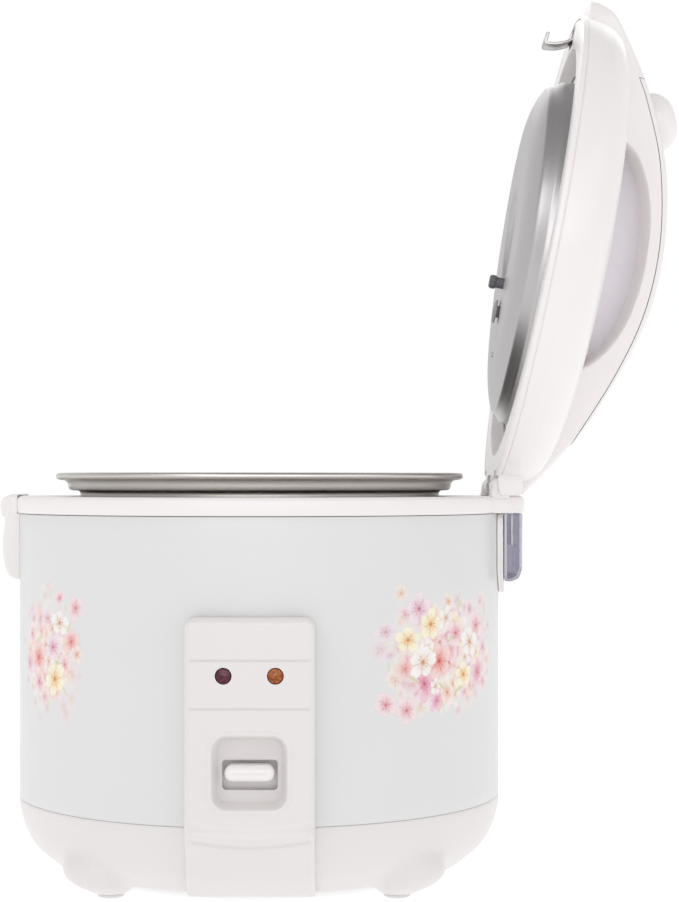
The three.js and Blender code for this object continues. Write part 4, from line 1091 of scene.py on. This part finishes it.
def bridge(name):
    """The raised handle: ribs from nose to hinge, with soft finger wells pressed into its sides."""
    top = np.array(curve(BRIDGE_TOP, 380))
    arch = np.array(curve(ARCH, 80))
    crown, edge, nose, tail = 0.9, 3.6, 11.0, 5.0
    rings = []
    for x, h_top in top:
        from_nose = min(max(x - top[0, 0], 0.02), nose)
        from_tail = min(max(top[-1, 0] - x, 0.02), tail)
        half = BRIDGE_HALF - rounding(nose - from_nose, nose) - rounding(tail - from_tail, tail)
        h_low = 6 + 4 * max(0.0, (x + 143) / 286.5)
        rise = h_top - crown - h_low
        fillet = min(edge, rise * 0.45)
        side_h = np.linspace(h_low, h_top - crown - fillet, 84)
        depth = inside_distance(np.full(84, x), side_h, arch)
        side_y = half - (BRIDGE_HALF - WEB_HALF + 0.8) * ease(-0.6, WELL_WALL, depth)
        turns = np.linspace(0, pi / 2, 9)[1:]
        round_y = half - fillet + fillet * np.cos(turns)
        round_h = h_top - crown - fillet + fillet * np.sin(turns)
        over_y = np.linspace(1, -1, 17)[1:-1] * (half - fillet)
        over_h = h_top - crown * (over_y / (half - fillet)) ** 2
        y = np.concatenate([side_y, round_y, over_y, -round_y[::-1], -side_y[::-1]])
        h = np.concatenate([side_h, round_h, over_h, round_h[::-1], side_h[::-1]])
        rings.append(np.stack([np.full(len(y), x), y, h], -1))
    return skin(name, rings)


def above_seam(raised, inset):
    """A block over everything above the seam between the bridge and its cover."""
    seam = [(x, h + raised) for x, h in curve(SEAM, 90)]
    seam[0] = (seam[0][0] + inset, seam[0][1])
    seam[-1] = (seam[-1][0] - inset, seam[-1][1])
    return prism("above", "y", seam + [(113 - inset, 90), (-112 + inset, 90)], -40, 40)


DOME_WALL = [
    (144.7, 4.6), (144.3, 9), (143.2, 14.5), (140.4, 21), (134.5, 27.3), (126, 31.4), (116, 34),
    (100, 36.5), (70, 39.5), (35, 41.5), (0, 42.3),
]
DOME_INSIDE = [
    (142.5, 0.5), (142.5, 4), (141, 13.5), (138.3, 19.5), (132.8, 25.2), (125.2, 28.9),
    (115.5, 31.4), (99.7, 33.9), (70, 36.9), (35, 38.9), (0, 39.7),
]


def on_cap_axis(obj):
    tilt = Matrix.Rotation(radians(-CAP_TILT), 4, "Y")
    return moved(obj, Matrix.Translation((CAP_SEAT[0], 0, CAP_SEAT[1])) @ tilt)


def cap_seat():
    return on_cap_axis(rod("seat", "z", (0, 0), CAP_R + 0.3, -3, 30, sides=64))


def hinge_cheek(start, end):
    """A side cover of the hinge; its outline is given where it stands with the lid open."""
    opened = [(141.5, 233), (142.5, RING_TOP + 0.5), (155, RING_TOP + 0.5), (156.8, 231)]
    opened += [(153, 248), (142, 248)]
    shut = Matrix.Rotation(-LID_OPEN, 4, "Y") @ Matrix.Translation((-HINGE.x, 0, -HINGE.z))
    points = [shut @ Vector((x, 0, z)) for x, z in opened]
    closed = [(HINGE.x + point.x, HINGE_H + point.z) for point in points]
    return prism("cheek", "y", rounded(closed, 2.0), start, end, 0.6, 3)


def build_lid_shell():
    lip = [(LID_R - 1, 0.5), (LID_R - 0.2, 0.8), (LID_R, 1.3), (LID_R, 3.0), (LID_R - 0.3, 3.4)]
    lip += [(LID_R - 0.9, 3.6), (LID_R - 0.9, 4.0)]
    dome = turned("lid_shell_v", lip + curve(DOME_WALL, 64) + [(0, 0.5)], 288)
    join(dome, bridge("bridge"))
    hollow = turned("hollow", [(0, -1), (142.5, -1)] + curve(DOME_INSIDE, 40)[1:], 120)
    notches = [
        slab((133, 150), (-31.9, 31.9), (-2, 13)),
        slab((133, 150), (-46.3, 46.3), (-2, HINGE_H)),
        rod("notch", "y", (HINGE.x, HINGE_H), 7, -46.3, 46.3, sides=48),
    ]
    duct = rod("duct", "z", (-88, 0), 8.3, 10, 50)
    cut(dome, hollow, above_seam(0, 0), cap_seat(), duct, *notches)
    join(dome, *[hinge_cheek(y0, y1) for y0, y1 in ((-46.9, -44.7), (44.7, 46.9))])
    piece(dome, WHITE, "lid", crease=35)


def build_handle():
    cover = bridge("handle_cover_v")
    within(cover, above_seam(0.45, 0.45))
    cut(cover, cap_seat())
    piece(cover, WHITE, "lid", crease=35)
    outline = np.array(curve(ARCH, 80))
    middle = outline.mean(0)
    smaller = middle + (outline - middle) * 0.95
    web = prism("finger_well_web_v", "y", smaller, -WEB_HALF, WEB_HALF, 0.3, 2)
    piece(web, WELL, "lid")
    dome = [
        (0, 19.2), (4, 19.0), (8.4, 18.3), (12.2, 16.8), (15.2, 14.3), (17.1, 11.2), (18.0, 7.8),
        (CAP_R, 4), (CAP_R, -2.0), (CAP_R - 0.5, -2.6), (0, -2.6),
    ]
    cap = turned("steam_cap_v", curve(dome[:8], 30) + dome[8:], 96)
    for turn in (-60, 0, 60):
        vent = prism("vent", "z", rounded_rectangle(0, 0, 1.0, 4.5, 1.0), 10, 30)
        cut(cap, shifted(vent, turn / 12, 0, 0))
    piece(on_cap_axis(cap), WHITE, "steam_cap")


def build_inner_frame():
    profile = [
        (142, 0.5), (142, 2.7), (127.2, 2.7), (127.2, 16.8), (60, 16.8), (60, 14.6), (125, 14.6),
        (125, 0.5),
    ]
    plate = turned("lid_inner_frame_v", rounded(profile, 0.8, 3), 240)
    rooms = [slab((134.5, 150), (y, y + 14.8), (-1, 13)) for y in (-EAR_TO - 2.3, EAR_FROM - 0.5)]
    cut(plate, *rooms)
    half = EAR_FROM - 0.5
    arm = rounded([(133.5, 1), (HINGE.x, 1), (HINGE.x, 9.5), (133.5, 9.5)], 1.5)
    knuckle = rod("knuckle", "y", (HINGE.x, HINGE_H), 5.2, -half, half, 0.8)
    bosses = [slab((-139, -131.5), (y, y + 3.2), (2, 12)) for y in (-12.5, 9.3)]
    join(plate, prism("arm", "y", arm, -half, half), knuckle, *bosses)
    pin_hole = rod("hole", "y", (HINGE.x, HINGE_H), PIN_HOLE_R, -60, 60)
    spring_room = slab((137.5, 150), (-12, 12), (-1, 12))
    hook_slot = prism("slot", "z", rounded_rectangle(-134.2, 0, 6.3, 9, 1.5), -1, 4)
    hook_hole = rod("hole", "y", HOOK_PIVOT, 1.4, -20, 20)
    cut(plate, pin_hole, spring_room, hook_slot, hook_hole)
    piece(plate, WHITE, "lid")


def dish_profile():
    """Face, rolled shoulder, side wall and flange of the inner lid, out and back again."""
    radii = steps_through([0, 34, 70, FACE_R], [1.2, 4, 1.0])
    face = [(r, FACE - 1 + 7.8 * (max(0, r - 70) / (FACE_R - 70)) ** 2.2) for r in radii]
    wall = [(99.3, -9.8), (100.1, -8.4), (101, -5.6), (103.8, -2.2), (104.4, -0.6), (104.5, 3.6)]
    flange = [(104.9, 5.4), (106, 6.5), (109, 6.5), (109, 8), (105.2, 8), (103.4, 6), (103, 3.6)]
    back = [(103, 0.2), (102.4, -1.2), (99.7, -4.6), (98.8, -7.4), (98, -8.8)]
    inner_face = [(r, z + 1.5) for r, z in reversed(face)]
    return face + wall + flange + back + inner_face


def shallower(x):
    """The share of its depth that the dish has lost at x; it grows towards the hinge."""
    return 0.355 * (x + 95) / 175


def face_height(x):
    """Height of the dish's face beside the bowl."""
    return FACE - 1 + (DISH_SHOULDER - FACE + 1) * shallower(x)


def build_dish():
    """The inner lid: a turned drum with a bowl pressed into its face, shallower at the hinge."""
    dish = turned("inner_lid_dish_v", dish_profile(), 240)
    mesh = dish.data
    points = vertices_of(mesh)
    away = np.hypot(points[:, 0] + 7, points[:, 1])
    on_face = points[:, 2] < FACE + 2.6
    bowl = 3.4 * ease(31, 27.4, away) + 5.2 * (1 - np.minimum(away / 28, 1) ** 2)
    points[:, 2] += np.where(on_face, bowl, 0)
    drum = DISH_SHOULDER - points[:, 2]
    points[:, 2] += np.where(drum > 0, drum * shallower(points[:, 0]), 0)
    mesh.vertices.foreach_set("co", points.ravel())
    knob_hole = rod("hole", "z", (KNOB_X, 0), 3.4, -30, 10)
    steam_hole = rod("hole", "z", (STEAM_HOLE_X, 0), 4, -30, 10)
    cut(dish, knob_hole, steam_hole)
    rivet = turned("rivet", [(0, -0.9), (1.2, -0.8), (1.8, 0), (1.8, 1), (0, 1)], 24)
    join(dish, shifted(rivet, RIVET_X, 0, face_height(RIVET_X)))
    piece(dish, DISH, "lid", crease=50)
    dish.data.materials.append(DISH_FACE)
    for polygon in dish.data.polygons:
        x, y, z = polygon.center
        polygon.material_index = int(z < 0 and x * x + y * y < (FACE_R * MM) ** 2)


def build_inner_lid():
    seal = [(109.3, 5.6), (111.5, 5.6), (111.5, 11.5), (104.5, 11.5), (104.5, 8.3), (109.3, 8.3)]
    gasket = turned("lid_gasket_v", rounded(seal, 0.8, 3), 200)
    piece(gasket, SILICONE, "lid")
    side = [(0, -1.6), (3.4, -1.6), (4.2, -0.6), (4.2, 2.0), (3.8, 2.6), (0, 2.6)]
    knob = turned("inner_lid_knob_v", rounded(side, 0.6, 3, closed=False), 64)
    grips = [
        rod("grip", "z", (4.6 * cos(a), 4.6 * sin(a)), 0.7, -5, 1.5, sides=12)
        for a in np.linspace(0, 2 * pi, 13)[:-1]
    ]
    cut(knob, *grips)
    shifted(knob, KNOB_X, 0, FACE - 2.6)
    join(knob, rod("neck", "z", (KNOB_X, 0), 3.4, FACE - 1, face_height(KNOB_X) + 0.6))
    cut(knob, rod("bore", "z", (KNOB_X, 0), 3.1, FACE - 2.8, 0))
    piece(knob, GREY, "lid")
    side = [
        (0, -0.8), (2.6, -0.8), (3.2, -1.9), (5.4, -1.9), (7.0, -1.2), (7.5, -0.1), (3.6, -0.1),
        (3.6, 4), (0, 4),
    ]
    cap = turned("steam_hole_cap_v", rounded(side, 0.5, 3, closed=False), 64)
    shifted(cap, STEAM_HOLE_X, 0, face_height(STEAM_HOLE_X) - 1.6)
    cut(cap, rod("bore", "z", (STEAM_HOLE_X, 0), 2.2, FACE - 4, 0, sides=16))
    piece(cap, PALE_GREY, "lid")
    disc = [(0, 11.8), (79.4, 11.8), (80, 12.4), (80, 14.3), (0, 14.3)]
    plate = turned("radiating_plate_v", disc, 120)
    join(plate, rod("stud", "z", (KNOB_X, 0), 2.8, FACE - 2, 13))
    piece(plate, DISH, "lid")


def build_hook():
    line = curve([(-136, 8), (-133, 2.2), (-129.6, -2.6), (-127.4, -8.2), (-126.6, -13)], 24)
    line = rounded(line + [(-126.4, -15.6), (-133.2, -14.9)], 1.6, 6, closed=False)
    plate = prism("lid_hook_v", "y", bent_plate(line, 1.9), -HOOK_HALF, HOOK_HALF, 0.4, 3)
    join(plate, rod("eye", "y", HOOK_PIVOT, 2.9, -HOOK_HALF, HOOK_HALF))
    cut(plate, rod("bore", "y", HOOK_PIVOT, 1.4, -20, 20))
    piece(plate, CHROME, "hook")
    piece(rod("hook_pin_v", "y", HOOK_PIVOT, 1.1, -12.3, 12.3, 0.3), ZINC, "lid")


# ---- hidden mechanism

HIDDEN = {
    ZINC: "lift_rod pivot_bracket pivot_pin lever_arm latch_catch lid_screw_1 lid_screw_2",
    SILICONE: "side_heater_band",
    GREY: "steam_duct",
    BLACK: "thermal_fuse micro_switch",
    FERRITE: "sensor_ferrite magnet",
}


def dress_hidden_nodes():
    """The small parts inside keep their CAD shape and get a finish."""
    for look, names in HIDDEN.items():
        for name in names.split():
            materials = frame["nodes"][name].data.materials
            materials.clear()
            materials.append(look)


# ---- stage, light and camera


def build_stage():
    """A plain pale floor that runs out to the horizon."""
    material, tree, place = new_material("pale_floor")
    surface = {
        "Base Color": ramp(tree, noise(tree, place, 0.7), grey(0.3), grey(0.32)),
        "Roughness": 0.9,
        "Specular IOR Level": 0.1,
        "Emission Color": grey(1),
        "Emission Strength": 0.8,
    }
    floor = mesh_object("pale_floor", [(x * 12, y * 12, 0) for x, y in CORNERS], [(0, 1, 2, 3)])
    moved(floor, Matrix.Translation(-FLOOR * MM))
    floor.data.materials.append(finished(material, surface))


def build_world():
    """White to the camera; soft, slightly brighter from above, with a darker ceiling in gloss."""
    world = bpy.data.worlds.new("studio")
    bpy.context.scene.world = world
    world.use_nodes = True
    tree = world.node_tree
    direction = add(tree, "ShaderNodeTexCoord", {}).outputs["Generated"]
    apart = add(tree, "ShaderNodeSeparateXYZ", {"Vector": direction}).outputs
    soft = spread(tree, apart["Z"], 0.70, 0.82, -0.3, 0.9)
    front = spread(tree, apart["Y"], 0.0, 1.9, -0.7, -0.97)
    gloss = add(tree, "ShaderNodeValToRGB", {"Fac": apart["Z"]})
    stops = gloss.color_ramp.elements
    stops[0].color, stops[1].color = grey(0.85), grey(0.38)
    for position, level in ((0.25, 0.85), (0.5, 0.75), (0.68, 0.42)):
        stops.new(position).color = grey(level)
    bright = maths(tree, "ADD", gloss.outputs["Color"], front)
    path = add(tree, "ShaderNodeLightPath", {}).outputs
    inputs = {"Factor": path["Is Glossy Ray"], 2: soft, 3: bright}
    light = add(tree, "ShaderNodeMix", inputs, data_type="FLOAT").outputs[0]
    inputs = {"Factor": path["Is Camera Ray"], 2: light, 3: 1.0}
    seen = add(tree, "ShaderNodeMix", inputs, data_type="FLOAT").outputs[0]
    feed(tree.nodes["Background"], {"Strength": seen, "Color": grey(1)})


def area_light(name, at, aim, size, power):
    data = bpy.data.lights.new(name, "AREA")
    data.shape = "RECTANGLE"
    data.size, data.size_y = size
    data.energy = power
    light = bpy.data.objects.new(name, data)
    bpy.context.scene.collection.objects.link(light)
    light.location = at
    light.rotation_euler = (Vector(aim) - Vector(at)).to_track_quat("-Z", "Y").to_euler()
    light.visible_camera = False


def build_lights():
    middle = (0, 0, 0.2)
    area_light("key", (-1.3, -1.5, 1.7), middle, (1.4, 1.0), 7)
    area_light("fill", (1.6, -1.2, 0.9), middle, (1.2, 1.2), 3)
    area_light("back", (0.3, 1.8, 1.5), middle, (1.6, 1.0), 5)


def build_camera():
    """Level, looking along +Y; the shift lifts the view as in an upright product picture."""
    data = bpy.data.cameras.new("camera")
    data.lens, data.sensor_width = 82.5, 36
    data.shift_y = 0.03326
    data.clip_start, data.clip_end = 0.05, 100
    camera = bpy.data.objects.new("camera", data)
    bpy.context.scene.collection.objects.link(camera)
    camera.location = (0.0484, -1.2615, 0.2291)
    camera.rotation_euler = (pi / 2, 0, 0)
    bpy.context.scene.camera = camera


# ---- assembly

build_camera()
build_stage()
build_world()
build_lights()
build_base()
build_underside()
build_inlet()
build_sleeve()
build_ring()
build_panel()
build_lamps()
build_lever()
build_latch()
build_collector()
build_hinge()
build_pan()
build_heater()
build_lid_shell()
build_handle()
build_inner_frame()
build_dish()
build_inner_lid()
build_hook()
dress_hidden_nodes()
bpy.context.scene.view_settings.view_transform = "Standard"
